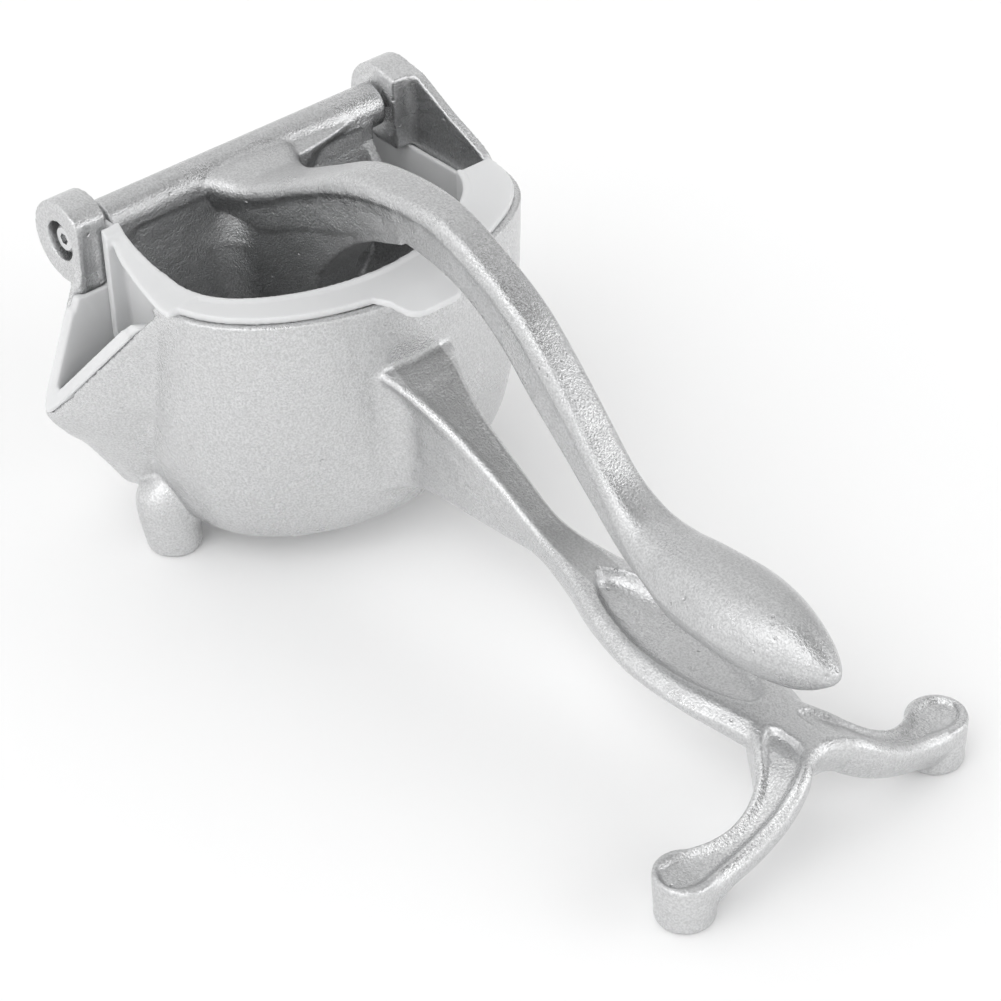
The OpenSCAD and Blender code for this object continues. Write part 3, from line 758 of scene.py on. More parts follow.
def arm_ring(row):
    """Section of the lever: flat sides, a fine ledge and a round top, passing into boss and grip."""
    boss = row[5]
    grip = row[6]
    half = (1 - boss - grip) * np.array(ARM_FORM) + boss * np.array(BOSS_FORM) + grip * np.array(GRIP_FORM)
    share = np.concatenate([half, half[-2:0:-1] * [-1, 1]])
    x = (row[0] + row[2]) / 2 + (row[0] - row[2]) / 2 * share[:, 1]
    z = (row[1] + row[3]) / 2 + (row[1] - row[3]) / 2 * share[:, 1]
    ring = np.stack([x, -row[4] * share[:, 0], z], axis=1)
    return rounded(ring, FORM_REACH + FORM_REACH[-2:0:-1], 3)


HEAD_POINTS = 121
HEAD_SHARP = 14.0
HEAD_CORE = 1.0


def head_outline(inset):
    """Outline of the press head in front of the hinge, rows of [distance from the hinge axis, y]."""
    turn = np.linspace(-math.pi / 2, math.pi / 2, HEAD_POINTS)
    reach = arc_reach(turn, HEAD_REACH - inset, HEAD_NOSE - inset)
    side = (HEAD_HALF - inset) / np.maximum(np.abs(np.sin(turn)), 0.001)
    radius = (reach ** -HEAD_SHARP + side ** -HEAD_SHARP) ** (-1 / HEAD_SHARP)
    rows = np.stack([OUTLINE_X + radius * np.cos(turn), radius * np.sin(turn)], axis=1)
    first = [[HEAD_CORE, -HEAD_HALF + inset]]
    last = [[HEAD_CORE, HEAD_HALF - inset]]
    return np.concatenate([first, rows, last])


def head_sweep(name, inset, low, high, steps):
    """The head's outline turned about the hinge axis, from angle low to high, both from straight down."""
    reach, y = head_outline(inset).T
    rings = []
    for angle in np.radians(np.linspace(low, high, steps + 1)):
        rings.append(np.stack([reach * np.sin(angle), y, HINGE_Z - reach * np.cos(angle)], axis=1))
    return loft(name, rings)


# side views, rows of [x, z]: both faces of the plate behind the head, what is open above the head, the web
PLATE_FRONT = [[ROLL_R - 0.2, 93.5], [7, 84], [8.6, 70], [9.4, 55], [8, 40], [7, 20]]
PLATE_BACK = [[4, 20], [5, 42], [5.6, 55], [4.8, 70], [3, 84], [1.5, 88]]
SCOOP_EDGE = [[ROLL_R + 0.2, 88], [12, 80], [22, 73], [40, 68.5], [FAR, 68.5], [FAR, 200],
              [ROLL_R + 0.2, 200]]
WEB = [[2, 90], [25, 97], [45, 107.5], [62, 115.5], [80, 117], [82, 108.6], [69.5, 104.2], [63, 100.4],
       [57, 95.6], [51, 89.4], [45, 81.8], [42, 74], [40, 66], [39, 55], [32, 43], [15, 36], [6, 35]]
# rows of [x, half width of the web]
WEB_HALF = np.array([[0, 7.0], [40, 7.0], [60, 6.9], [80, 6.6]])
WEB_HEEL = 7
NEAR_GAP = 3.1
FAR_GAP = 1.0
# rows of [height, x of the plate, radius of the fillets between the web and the plate]
WEB_ROOT = [[34, 8.2, 10], [70, 8.2, 10], [78, 7.9, 10], [83, 7.3, 7.5], [86.5, 7, 4], [89, 6.8, 1]]


def web_solid():
    """Web between the arm and the bowl of the head, flush with the sides of the arm."""
    half = [np.interp(x, WEB_HALF[:, 0], WEB_HALF[:, 1]) for x, _z in WEB]
    rings = []
    for side in (-1, 1):
        rings.append(np.array([[x, side * y, z] for (x, z), y in zip(WEB, half)]))
    return loft("web", rings)


def web_root():
    """Round fillets between the web and the plate inside the press head, running out at the top."""
    turn = np.linspace(0, math.pi / 2, 10)
    rings = []
    for z, x0, r in WEB_ROOT:
        curve = [[x0 + r * (1 - math.cos(a)), WEB_HEEL + r * (1 - math.sin(a)), z] for a in turn]
        far_side = [[x0 - 2, WEB_HEEL + r, z]] + curve
        rings.append(np.array(far_side + [[x, -y, height] for x, y, height in reversed(far_side)]))
    return loft("web_root", rings)


# rows of [x, y at the foot, y half way, y at the top] of the flare from the boss into the bar's far half
FLARE = [[1.0, 22, 30, 44], [4.0, 21.6, 28, 42], [6.2, 20.6, 25.4, 36], [8.6, 17.6, 20.5, 26],
         [10.4, 14, 15.5, 17]]


def boss_flare():
    """Flare between the boss of the arm and the hinge bar."""
    rings = []
    for x, y_low, y_mid, y_top in FLARE:
        z_top = HINGE_Z + math.sqrt(max(ROLL_R ** 2 - min(x, 6.0) ** 2, 0)) - 0.4
        corners = [[x, 8, 85.5], [x, y_low, 86.5], [x, (y_low + y_mid) / 2 + 0.6, 91],
                   [x, y_mid + 1.5, 93.6], [x, y_top, HINGE_Z], [x, y_top, z_top], [x, 8, z_top + 1]]
        rings.append(rounded(corners, [0.1, 1, 2, 2, 0.5, 0.5, 0.1]))
    return loft("flare", rings)


def lever_casting():
    """Bar, arm, grip and press head of the lever, as one closed mesh."""
    inner = EAR_HALF - EAR_THICK
    lever = round_bar("lever", 0, HINGE_Z, ROLL_R, -inner + NEAR_GAP, inner - FAR_GAP, 128)
    combine(lever, loft("arm", [arm_ring(row) for row in stations(ARM, 8)]), "UNION")
    combine(lever, boss_flare(), "UNION")
    scoop = head_sweep("scoop", 0, -HEEL, 90 - LIP, 72)
    front_room = head_sweep("front_room", HEAD_WALL, 0, 95, 72)
    front_side = PLATE_FRONT + [[FAR, 20], [FAR, 93.5]]
    combine(front_room, prism("front_side", front_side, -FAR / 2, FAR / 2), "INTERSECT")
    combine(scoop, front_room, "DIFFERENCE")
    back_room = head_sweep("back_room", HEAD_WALL, -HEEL - 2, 20, 24)
    back_side = PLATE_BACK + [[-30, 88], [-30, 20]]
    combine(back_room, prism("back_side", back_side, -FAR / 2, FAR / 2), "INTERSECT")
    combine(scoop, back_room, "DIFFERENCE")
    combine(scoop, prism("scoop_top", SCOOP_EDGE, -FAR, FAR), "DIFFERENCE")
    combine(lever, scoop, "UNION")
    combine(lever, web_solid(), "UNION")
    combine(lever, web_root(), "UNION")
    combine(lever, round_bar("lever_bore", 0, HINGE_Z, BORE_R, -FAR, FAR, 48), "DIFFERENCE")
    return lever


# Basket and liner

# side views, rows of [x, z], of what is cut off: over the splash wall, at the open far side, over that side
SPLASH = [[-40, 82], [4.6, 82], [4.6, 98.6], [9.6, 98.6], [10.4, 100.6], [11.6, 99.6], [13.7, 97.6],
          [17.6, 95.8], [24.2, 94.1], [31, 93.1], [39, BASKET_TOP], [FAR, BASKET_TOP], [FAR, FAR],
          [-40, FAR]]
OPEN_SIDE = [[-40, 60], [34, 60], [39, 66], [41, 80], [41, FAR], [-40, FAR]]
FAR_TOP = [[-40, 82], [30, 82], [41, BASKET_TOP], [FAR, BASKET_TOP], [FAR, FAR], [-40, FAR]]
# rows of [x, width outwards from the basket's side, height above the cup rim]
BAND = [[4.6, 2.2, 9.1], [9.6, 2.2, 9.1], [10.8, 3.6, 10.2], [13.7, 4.3, 8.1], [17.6, 5.4, 6.3],
        [24.2, 6.6, 4.6], [31, 7.8, 3.6], [39, 8.8, 2.6], [44, 9, 2.6]]
# side view of the recess in the near side, rows of [x, z], and the finger tab from above, rows of [x, y]
PANEL = [[15.5, 66], [15.5, 80.2], [16.4, 82.6], [18.6, 83.6], [24, 82.4], [30, 81.2], [33, 66]]
TAB = [[70, -13], [76, -11.5], [79, -9.5], [86, -9], [88.3, -7.4], [89, -5], [89, 5], [88.3, 7.4], [86, 9],
       [79, 9.5], [76, 11.5], [70, 13]]
PANEL_DEPTH = 0.6
BASKET_LID = 9
TAB_CORNER = 1.2
FLANGE_IN = 1.8
FLANGE_THICK = 2
FLANGE_BACK = 41
# corners, rows of [x, how far outwards, z], of the post and the rib at the end of the splash wall
POST = ([4.6, 2.4, 64], [7.2, 0, 98])
END_RIB = ([10.4, 5.8, 66], [12.8, 0, 102])
SLOTS = 5
SLOT_PITCH = 7
SLOT_HALF = 1.2
SLOT_ENDS = (16, 40)


def basket_outline(inset):
    """Outline of the basket's outside, set in by inset."""
    inner = (BASKET_HALF, BASKET_FRONT, BASKET_BACK, BASKET_NOSE, BASKET_NOSE)
    return outline(*[size + BASKET_WALL - inset for size in inner], BASKET_SHARP)


def splash_band():
    """Rounded band along the foot of the splash wall, outside the basket."""
    y = -BASKET_HALF
    rings = []
    for x, width, rise in stations(BAND, 8):
        z = RIM_Z + rise
        corners = [[x, y - width, z - 2.6], [x, y - 1.2, z - 3.4], [x, y, z - 5], [x, y + 0.4, z - 1.8],
                   [x, y + 0.4, z], [x, y - width, z - 0.8]]
        rings.append(rounded(corners, [0.5, 1.5, 1.5, 0.1, 0.1, 0.7]))
    return loft("band", rings)


def filter_basket():
    """Strainer basket with its rim flange, finger tab and splash wall."""
    basket = bowl("basket", basket_outline(0), BASKET_FLOOR, BASKET_TOP, BASKET_LID)
    top = RIM_Z + FLANGE_THICK
    flange = flat_plate("flange", cup_outline(FLANGE_IN), RIM_Z, top)
    combine(flange, block("flange_cut", [-40, -FAR, 0], [FLANGE_BACK, FAR, FAR]), "DIFFERENCE")
    tab = rounded([[x, y, 0] for x, y in TAB], TAB_CORNER)
    combine(flange, flat_plate("tab", tab, RIM_Z, top), "UNION")
    combine(basket, flange, "UNION")
    combine(basket, splash_band(), "UNION")
    for name, (low, high) in (("post", POST), ("end_rib", END_RIB)):
        start = [low[0], -BASKET_HALF - low[1], low[2]]
        end = [high[0], -BASKET_HALF - high[1], high[2]]
        combine(basket, block(name, start, end), "UNION")
    panel_y = -BASKET_HALF - BASKET_WALL
    combine(basket, prism("panel", PANEL, panel_y - 4, panel_y + PANEL_DEPTH), "DIFFERENCE")
    floor = BASKET_FLOOR + BASKET_WALL
    hollow = bowl("basket_hollow", basket_outline(BASKET_WALL), floor, BASKET_TOP, BASKET_LID + 1)
    combine(basket, hollow, "DIFFERENCE")
    combine(basket, prism("splash_top", SPLASH, -FAR, 0), "DIFFERENCE")
    combine(basket, prism("far_top", FAR_TOP, -0.01, FAR), "DIFFERENCE")
    combine(basket, prism("open_side", OPEN_SIDE, 20, FAR), "DIFFERENCE")
    for k in range(SLOTS):
        y = (k - (SLOTS - 1) / 2) * SLOT_PITCH
        slot = block("slot", [SLOT_ENDS[0], y - SLOT_HALF, 0], [SLOT_ENDS[1], y + SLOT_HALF, 40])
        combine(basket, slot, "DIFFERENCE")
    return basket


LIP_END = 1.6


def mouth_lip():
    """Flat lip of the liner on the cast edge of the spout, from one upper corner to the other."""
    outer = mouth_line(LIP_OUT)
    inner = mouth_line(LIP_IN)
    keep = outer[:, 2] < LIP_TOP
    outer = outer[keep]
    inner = inner[keep]
    length = np.concatenate([[0], np.cumsum(np.linalg.norm(np.diff(outer, axis=0), axis=1))])
    rings = []
    for i in range(len(outer)):
        a = outer[i]
        b = inner[i]
        end = min(length[i], length[-1] - length[i])
        full = math.sqrt(max(1 - max(1 - end / LIP_END, 0) ** 2, 0.04))
        middle = (a + b) / 2
        a = middle + (a - middle) * full
        b = middle + (b - middle) * full
        across = (b - a) / np.linalg.norm(b - a)
        top = LINER_LIP * MOUTH_NORMAL
        side = 0.9 * MOUTH_NORMAL
        rings.append(np.array([a - 0.1 * MOUTH_NORMAL, a + side, a + 0.45 * across + top,
                               b - 0.5 * across + top, b + side, b - 0.4 * MOUTH_NORMAL]))
    return loft("mouth_lip", rings)


LINER_LID = 0.4
LINER_SPOUT_START = 19
LINER_THROAT_START = 21
LINER_FUNNEL_EDGE = 2.0
LINER_OVER_MOUTH = 0.2


def cup_liner():
    """Thin shell inside the cup and spout, with a lip on the edge of the spout."""
    outer = CUP_WALL + LINER_GAP
    inner = outer + LINER_WALL
    liner = cup_solid("liner", outer, LINER_LID)
    combine(liner, spout_solid("liner_spout", outer, LINER_SPOUT_START), "UNION")
    combine(liner, mouth_funnel("liner_funnel", LINER_FUNNEL_EDGE, outer), "UNION")
    combine(liner, cup_solid("liner_hollow", inner, HOLLOW_LID), "DIFFERENCE")
    combine(liner, spout_solid("liner_throat", inner, LINER_THROAT_START), "DIFFERENCE")
    combine(liner, mouth_funnel("liner_mouth", LIP_IN, inner), "DIFFERENCE")
    combine(liner, above_mouth("mouth_air", LINER_OVER_MOUTH), "DIFFERENCE")
    combine(liner, block("liner_cut", [-100, -100, LINER_TOP], [100, 100, 300]), "DIFFERENCE")
    combine(liner, mouth_lip(), "UNION")
    return liner


# Materials


class Nodes:
    """Short way to place and join nodes in a tree."""

    def __init__(self, tree):
        self.tree = tree

    def feed(self, value, socket):
        """Links a value from another node, or sets a plain one."""
        if isinstance(value, bpy.types.NodeSocket):
            self.tree.links.new(value, socket)
        else:
            socket.default_value = value

    def add(self, kind, **inputs):
        """Places a node; a name that starts with set_ is a setting of the node, any other is an input."""
        node = self.tree.nodes.new(kind)
        for key, value in inputs.items():
            if key.startswith("set_"):
                setattr(node, key[4:], value)
            else:
                self.feed(value, node.inputs[key])
        return node

    def ramp(self, factor, stops):
        """Straight lines through stops, rows of (place, grey)."""
        node = self.tree.nodes.new("ShaderNodeValToRGB")
        self.tree.links.new(factor, node.inputs[0])
        while len(node.color_ramp.elements) < len(stops):
            node.color_ramp.elements.new(0.5)
        for element, (place, value) in zip(node.color_ramp.elements, stops):
            element.position = place
            element.color = (value, value, value, 1)
        return node.outputs[0]

    def math(self, operation, a, b=0.0):
        """Result of one sum on two values."""
        node = self.tree.nodes.new("ShaderNodeMath")
        node.operation = operation
        for socket, value in zip(node.inputs, (a, b)):
            self.feed(value, socket)
        return node.outputs[0]

    def spread(self, value, low, high):
        """A value from 0 to 1 spread from low to high."""
        node = self.add("ShaderNodeMapRange", Value=value)
        node.inputs["To Min"].default_value = low
        node.inputs["To Max"].default_value = high
        return node.outputs[0]

    def step(self, value, zero, one):
        """0 where the value is at zero, 1 where it is at one, with a straight slope between them."""
        node = self.add("ShaderNodeMapRange", Value=value)
        node.inputs["From Min"].default_value = zero
        node.inputs["From Max"].default_value = one
        return node.outputs[0]

    def tint(self, factor, colour, low, high):
        """Colour that goes from low to high times itself with the factor."""
        node = self.add("ShaderNodeMix", set_data_type="RGBA")
        self.feed(factor, node.inputs["Factor"])
        node.inputs["A"].default_value = (*[low * c for c in colour], 1)
        node.inputs["B"].default_value = (*[high * c for c in colour], 1)
        return node.outputs["Result"]


# noise scales per metre, and heights against that of the fine grain
SWELL_SCALE = 140.0
SWELL_HEIGHT = 1.6
PIT_SCALE = 260.0
PIT_PATCH_SCALE = 90.0
PIT_HEIGHT = 1.2
ROUGH_PATCH_SCALE = 45.0


def cast_grain_group():
    """Fine sand-cast grain: height, a light and dark fleck, and slow patches of roughness."""
    name = "cast_grain"
    if name in bpy.data.node_groups:
        return bpy.data.node_groups[name]
    group = bpy.data.node_groups.new(name, "ShaderNodeTree")
    grain_in = group.interface.new_socket("Grain Size", in_out="INPUT", socket_type="NodeSocketFloat")
    grain_in.default_value = 0.45
    for title in ("Height", "Fleck", "Patch"):
        group.interface.new_socket(title, in_out="OUTPUT", socket_type="NodeSocketFloat")
    nodes = Nodes(group)
    given = group.nodes.new("NodeGroupInput")
    out = group.nodes.new("NodeGroupOutput")
    place = nodes.add("ShaderNodeTexCoord").outputs["Object"]
    scale = nodes.math("DIVIDE", 1000.0, given.outputs["Grain Size"])
    fine = nodes.add("ShaderNodeTexNoise", Vector=place, Scale=scale, Detail=3.0, Roughness=0.6)
    slow = nodes.add("ShaderNodeTexNoise", Vector=place, Scale=SWELL_SCALE, Detail=2.0)
    pits = nodes.add("ShaderNodeTexVoronoi", Vector=place, Scale=PIT_SCALE)
    pit = nodes.ramp(pits.outputs["Distance"], [(0.0, 0.0), (0.09, 0.0), (0.16, 1.0)])
    sparse = nodes.add("ShaderNodeTexNoise", Vector=place, Scale=PIT_PATCH_SCALE)
    rare = nodes.ramp(sparse.outputs[0], [(0.56, 1.0), (0.64, 0.0)])
    pit_mask = nodes.math("MAXIMUM", pit, rare)
    height = nodes.math("ADD", fine.outputs[0], nodes.math("MULTIPLY", slow.outputs[0], SWELL_HEIGHT))
    height = nodes.math("ADD", height, nodes.math("MULTIPLY", pit_mask, PIT_HEIGHT))
    group.links.new(height, out.inputs["Height"])
    group.links.new(fine.outputs[0], out.inputs["Fleck"])
    patch = nodes.add("ShaderNodeTexNoise", Vector=place, Scale=ROUGH_PATCH_SCALE, Detail=4.0)
    group.links.new(patch.outputs[0], out.inputs["Patch"])
    return group


def base_material(name):
    """Material with an empty Principled shader; an existing one comes back without its nodes."""
    material = bpy.data.materials.get(name)
    if material:
        return material, None, None
    material = bpy.data.materials.new(name)
    material.use_nodes = True
    tree = material.node_tree
    tree.nodes.clear()
    out = tree.nodes.new("ShaderNodeOutputMaterial")
    shader = tree.nodes.new("ShaderNodeBsdfPrincipled")
    tree.links.new(shader.outputs[0], out.inputs[0])
    return material, Nodes(tree), shader


# Where a casting gets a rougher skin whose darker colour is painted shade: below a line and inside a half
# width, along the press's length.
# Each holds its start and reach along x, rows of the line [x, z], rows of the half width [x, y], its depth
# under the line and the x where it starts to fade.
HEAD_LINE = ((0, 86), (12, 90), (22, 94.5), (33, 99.5), (40, 103.4), (56, 110.6), (76, 115), (92, 115.6),
             (104, 111))
LEVER_ROUGH_SHADE = (0, 110, HEAD_LINE, ((0, 60), (110, 60)), 90, 74)
CHANNEL_LINE = ((80, 70), (86, 66), (90, 63), (96, 60), (104, 56.4), (116, 50.7), (130, 44), (145, 41))
CHANNEL_HALF = ((80, 8.2), (82.6, 8.2), (84.8, 7.8), (88.6, 6.8), (96, 5.2), (104, 4.6), (116, 3.9),
                (130, 3.9), (138.8, 4.6), (145, 5.2))
CHANNEL_ROUGH_SHADE = (80, 80, CHANNEL_LINE, CHANNEL_HALF, 4.5, 136)
# lowest height and reach of the lines, scale of the half widths, and the widths over which the rough skin
# and its painted shade change
LINE_BASE = 20.0
LINE_REACH = 110.0
SIDE_REACH = 100
LINE_EDGE = 1.2
DEPTH_EDGE = 1
SIDE_EDGE = 0.6
FADE_LENGTH = 26


def rough_shade_mask(nodes, rough_shade_place):
    """Mask of the rough skin and its painted shade: 1 below the line and inside the half width, 0
    elsewhere.
    """
    start, reach, line, half, depth, fade = rough_shade_place
    place = nodes.add("ShaderNodeTexCoord").outputs["Object"]
    axes = nodes.add("ShaderNodeSeparateXYZ", Vector=place)
    shift = nodes.math("SUBTRACT", axes.outputs["X"], (HINGE_X + start) * MM)
    along = nodes.math("MULTIPLY", shift, 1 / (reach * MM))
    rim = nodes.ramp(along, [((x - start) / reach, (z - LINE_BASE) / LINE_REACH) for x, z in line])
    height = nodes.math("MULTIPLY", axes.outputs["Z"], 1 / (LINE_REACH * MM))
    height = nodes.math("SUBTRACT", height, LINE_BASE / LINE_REACH)
    below = nodes.math("SUBTRACT", rim, height)
    under = nodes.step(below, 0.0, LINE_EDGE / LINE_REACH)
    bottom = nodes.step(below, (depth + DEPTH_EDGE) / LINE_REACH, depth / LINE_REACH)
    side = nodes.ramp(along, [((x - start) / reach, y / SIDE_REACH) for x, y in half])
    across = nodes.math("ABSOLUTE", nodes.math("SUBTRACT", axes.outputs["Y"], HINGE_Y * MM))
    across = nodes.math("MULTIPLY", across, 1 / (SIDE_REACH * MM))
    inside = nodes.step(nodes.math("SUBTRACT", side, across), 0.0, SIDE_EDGE / SIDE_REACH)
    end = min((fade + FADE_LENGTH - start) / reach, 1.0)
    front = nodes.step(along, end, (fade - start) / reach)
    mask = nodes.math("MULTIPLY", under, inside)
    mask = nodes.math("MULTIPLY", mask, bottom)
    return nodes.math("MULTIPLY", mask, front)


# how far the roughness of a skin strays below and above its setting
ROUGH_BELOW = 0.06
ROUGH_ABOVE = 0.08
# height of the cast grain in metres, and what the rough skin adds to its strength and to the roughness
GRAIN_HEIGHT = 0.0004
SKIN_DEPTH = 0.35
SKIN_ROUGH = 0.12


def cast_alloy(settings, name, colour, rough_shade_place, painted_shade_tone):
    """Bare cast aluminium with a grain, and a rougher skin whose darker colour is painted shade where the
    mask says so.
    """
    material, nodes, shader = base_material(name)
    group = nodes.tree.nodes.new("ShaderNodeGroup")
    group.node_tree = cast_grain_group()
    group.inputs["Grain Size"].default_value = settings.grain_size / MM
    skin = rough_shade_mask(nodes, rough_shade_place)
    strength = nodes.math("ADD", settings.grain_depth, nodes.math("MULTIPLY", skin, SKIN_DEPTH))
    bump = nodes.add("ShaderNodeBump", Height=group.outputs["Height"], Strength=strength,
                     Distance=GRAIN_HEIGHT)
    nodes.feed(bump.outputs[0], shader.inputs["Normal"])
    low = settings.roughness - ROUGH_BELOW
    high = settings.roughness + ROUGH_ABOVE
    rough = nodes.spread(group.outputs["Patch"], low, high)
    rough = nodes.math("ADD", rough, nodes.math("MULTIPLY", skin, SKIN_ROUGH))
    nodes.feed(rough, shader.inputs["Roughness"])
    fleck = nodes.ramp(group.outputs["Fleck"], [(0.36, 0.0), (0.64, 1.0)])
    tint = nodes.tint(fleck, colour, 1 - settings.fleck, 1 + settings.fleck)
    # painted shade: the mask multiplies the colour by the skin's tone, standing for the shade in the hollow
    # or channel
    dark = nodes.add("ShaderNodeMix", set_data_type="RGBA", set_blend_type="MULTIPLY")
    nodes.feed(skin, dark.inputs["Factor"])
    nodes.feed(tint, dark.inputs["A"])
    dark.inputs["B"].default_value = (painted_shade_tone, painted_shade_tone, painted_shade_tone, 1)
    nodes.feed(dark.outputs["Result"], shader.inputs["Base Color"])
    shader.inputs["Metallic"].default_value = 1.0
    return material


def milky_plastic(settings):
    """Milky plastic, one material for the basket and the liner."""
    material, nodes, shader = base_material("plastic_skin")
    if nodes is None:
        return material
    place = nodes.add("ShaderNodeTexCoord").outputs["Object"]
    cloud = nodes.add("ShaderNodeTexNoise", Vector=place, Scale=60.0, Detail=3.0)
    nodes.feed(nodes.tint(cloud.outputs[0], settings.colour, 0.94, 1), shader.inputs["Base Color"])
    fine = nodes.add("ShaderNodeTexNoise", Vector=place, Scale=900.0, Detail=2.0)
    bump = nodes.add("ShaderNodeBump", Height=fine.outputs[0], Strength=0.12, Distance=0.00006)
    nodes.feed(bump.outputs[0], shader.inputs["Normal"])
    rough = nodes.spread(cloud.outputs[0], settings.roughness - 0.05, settings.roughness + ROUGH_ABOVE)
    nodes.feed(rough, shader.inputs["Roughness"])
    shader.inputs["Subsurface Weight"].default_value = settings.haze
    shader.inputs["Subsurface Radius"].default_value = (1.0, 1.0, 1.0)
    shader.inputs["Subsurface Scale"].default_value = 0.004
    shader.inputs["IOR"].default_value = 1.49
    return material


def steel_skin(settings, name, colour):
    """Plated steel of the hinge hardware."""
    material, nodes, shader = base_material(name)
    place = nodes.add("ShaderNodeTexCoord").outputs["Object"]
    cloud = nodes.add("ShaderNodeTexNoise", Vector=place, Scale=700.0, Detail=3.0)
    low = settings.roughness - ROUGH_BELOW
    high = settings.roughness + ROUGH_ABOVE
    nodes.feed(nodes.spread(cloud.outputs[0], low, high), shader.inputs["Roughness"])
    bump = nodes.add("ShaderNodeBump", Height=cloud.outputs[0], Strength=0.15, Distance=0.00003)
    nodes.feed(bump.outputs[0], shader.inputs["Normal"])
    nodes.feed(nodes.tint(cloud.outputs[0], colour, 0.9, 1), shader.inputs["Base Color"])
    shader.inputs["Metallic"].default_value = 1.0
    return material


# Settings


class CastSettings(bpy.types.PropertyGroup):
    colour: bpy.props.FloatVectorProperty(name="Colour", description="Colour of the bare cast aluminium",
                                          subtype="COLOR", size=3, default=(0.63, 0.633, 0.637))
    lever_colour: bpy.props.FloatVectorProperty(name="Lever colour",
                                                description="Colour of the lever's alloy",
                                                subtype="COLOR", size=3, default=(0.565, 0.568, 0.572))
    fleck: bpy.props.FloatProperty(name="Fleck", description="How much the cast grain changes the colour",
                                   default=0.14, min=0.0, max=0.5, subtype="FACTOR")
    # painted shade: the two tones below darken the rough skin's colour in the channel and in the press head
    channel_shade_tone: bpy.props.FloatProperty(name="Channel skin",
                                          description="Tone of the rough skin in the channel",
                                          default=0.62, min=0.0, max=1.0, subtype="FACTOR")
    painted_shade_tone: bpy.props.FloatProperty(name="Rough skin",
                                        description="Tone of the rough skin in the press head",
                                        default=0.95, min=0.0, max=1.0, subtype="FACTOR")
    roughness: bpy.props.FloatProperty(name="Roughness", description="Roughness of the cast skin",
                                       default=0.27, min=0.1, max=0.9, subtype="FACTOR")
    grain_size: bpy.props.FloatProperty(name="Grain size", description="Size of the cast grain",
                                        default=0.0006, unit="LENGTH")
    grain_depth: bpy.props.FloatProperty(name="Grain depth", description="Strength of the cast grain",
                                         default=0.62, min=0.0, max=1.0, subtype="FACTOR")
    voxel: bpy.props.FloatProperty(name="Mesh size", description="Size of the mesh cells in millimetres",
                                   default=0.54)


class PlasticSettings(bpy.types.PropertyGroup):
    colour: bpy.props.FloatVectorProperty(name="Colour", description="Colour of the milky plastic",
                                          subtype="COLOR", size=3, default=(0.73, 0.735, 0.74))
    roughness: bpy.props.FloatProperty(name="Roughness", description="Roughness of the moulded plastic",
                                       default=0.38, min=0.1, max=0.9, subtype="FACTOR")
    haze: bpy.props.FloatProperty(name="Haze", description="How far light spreads inside the plastic",
                                  default=0.35, min=0.0, max=1.0, subtype="FACTOR")
    voxel: bpy.props.FloatProperty(name="Mesh size", description="Size of the mesh cells in millimetres",
                                   default=0.5)


class SteelSettings(bpy.types.PropertyGroup):
    # painted shade: the washers' dark colour stands for the shade deep in the ear recesses
    washer_shade_colour: bpy.props.FloatVectorProperty(name="Washer colour",
                                                 description="Colour of the dark washers",
                                                 subtype="COLOR", size=3, default=(0.16, 0.16, 0.165))
    colour: bpy.props.FloatVectorProperty(name="Colour", description="Colour of the bright steel",
                                          subtype="COLOR", size=3, default=(0.72, 0.725, 0.73))
    roughness: bpy.props.FloatProperty(name="Roughness", description="Roughness of the plated steel",
                                       default=0.24, min=0.05, max=0.9, subtype="FACTOR")


class StudioSettings(bpy.types.PropertyGroup):
    floor_tone: bpy.props.FloatProperty(name="Floor tone", description="Brightness of the floor",
                                        default=0.98, min=0.0, max=1.0, subtype="FACTOR")
    floor_mirror: bpy.props.FloatProperty(name="Floor in metal",
                                          description="Extra light of the floor in the metal",
                                          default=0.05, min=0.0)
    fill: bpy.props.FloatProperty(name="Fill", description="Strength of the surrounding light",
                                  default=1.08, min=0.0)
    mirror_tone: bpy.props.FloatProperty(name="Mirrored tone",
                                         description="Brightness that the metal mirrors",
                                         default=0.98, min=0.0)
    key: bpy.props.FloatProperty(name="Key", description="Power of the large lamp on the right",
                                 default=0.35, unit="POWER")


SETTINGS = (("press_cast", CastSettings), ("press_plastic", PlasticSettings),
            ("press_steel", SteelSettings), ("press_studio", StudioSettings))


# Operators


# most triangles of each piece
BODY_TRIANGLES = 195000
LEVER_TRIANGLES = 190000
PLASTIC_TRIANGLES = 150000


class PRESS_OT_body(bpy.types.Operator):
    """Build the cup, spout, lower handle and forked foot"""
    bl_idname = "press.body"
    bl_label = "Lower Casting"

    def execute(self, context):
        settings = context.scene.press_cast
        cast = body_casting()
        remesh(cast, settings.voxel)
        # where the casting is smoothed more: the handle's root, the spout's keel and the near ear's cove
        x, y, z = drawn_points(cast).T
        root = band(x, 81, 3, 6) * (np.abs(y) < 20)
        outside = np.clip((-y - 52) / 4, 0, 1) * (z < 84) * (x > 4)
        spout = outside * band(x, 20, 20, 6)
        near_ear = (x > 6) * (x < 11) * (y < -48) * (z > 80)
        soften(cast, 4)
        soften(cast, 12, 0.8 * near_ear)
        soften(cast, 24, root)
        soften(cast, 10, 0.7 * spout)
        thin_out(cast, BODY_TRIANGLES)
        # painted shade: the channel's rough skin has a darkened colour
        alloy = cast_alloy(settings, "cast_skin", settings.colour, CHANNEL_ROUGH_SHADE, settings.channel_shade_tone)
        finish_piece(cast, "cup_and_fork", "base", "body_casting", alloy)
        return {"FINISHED"}


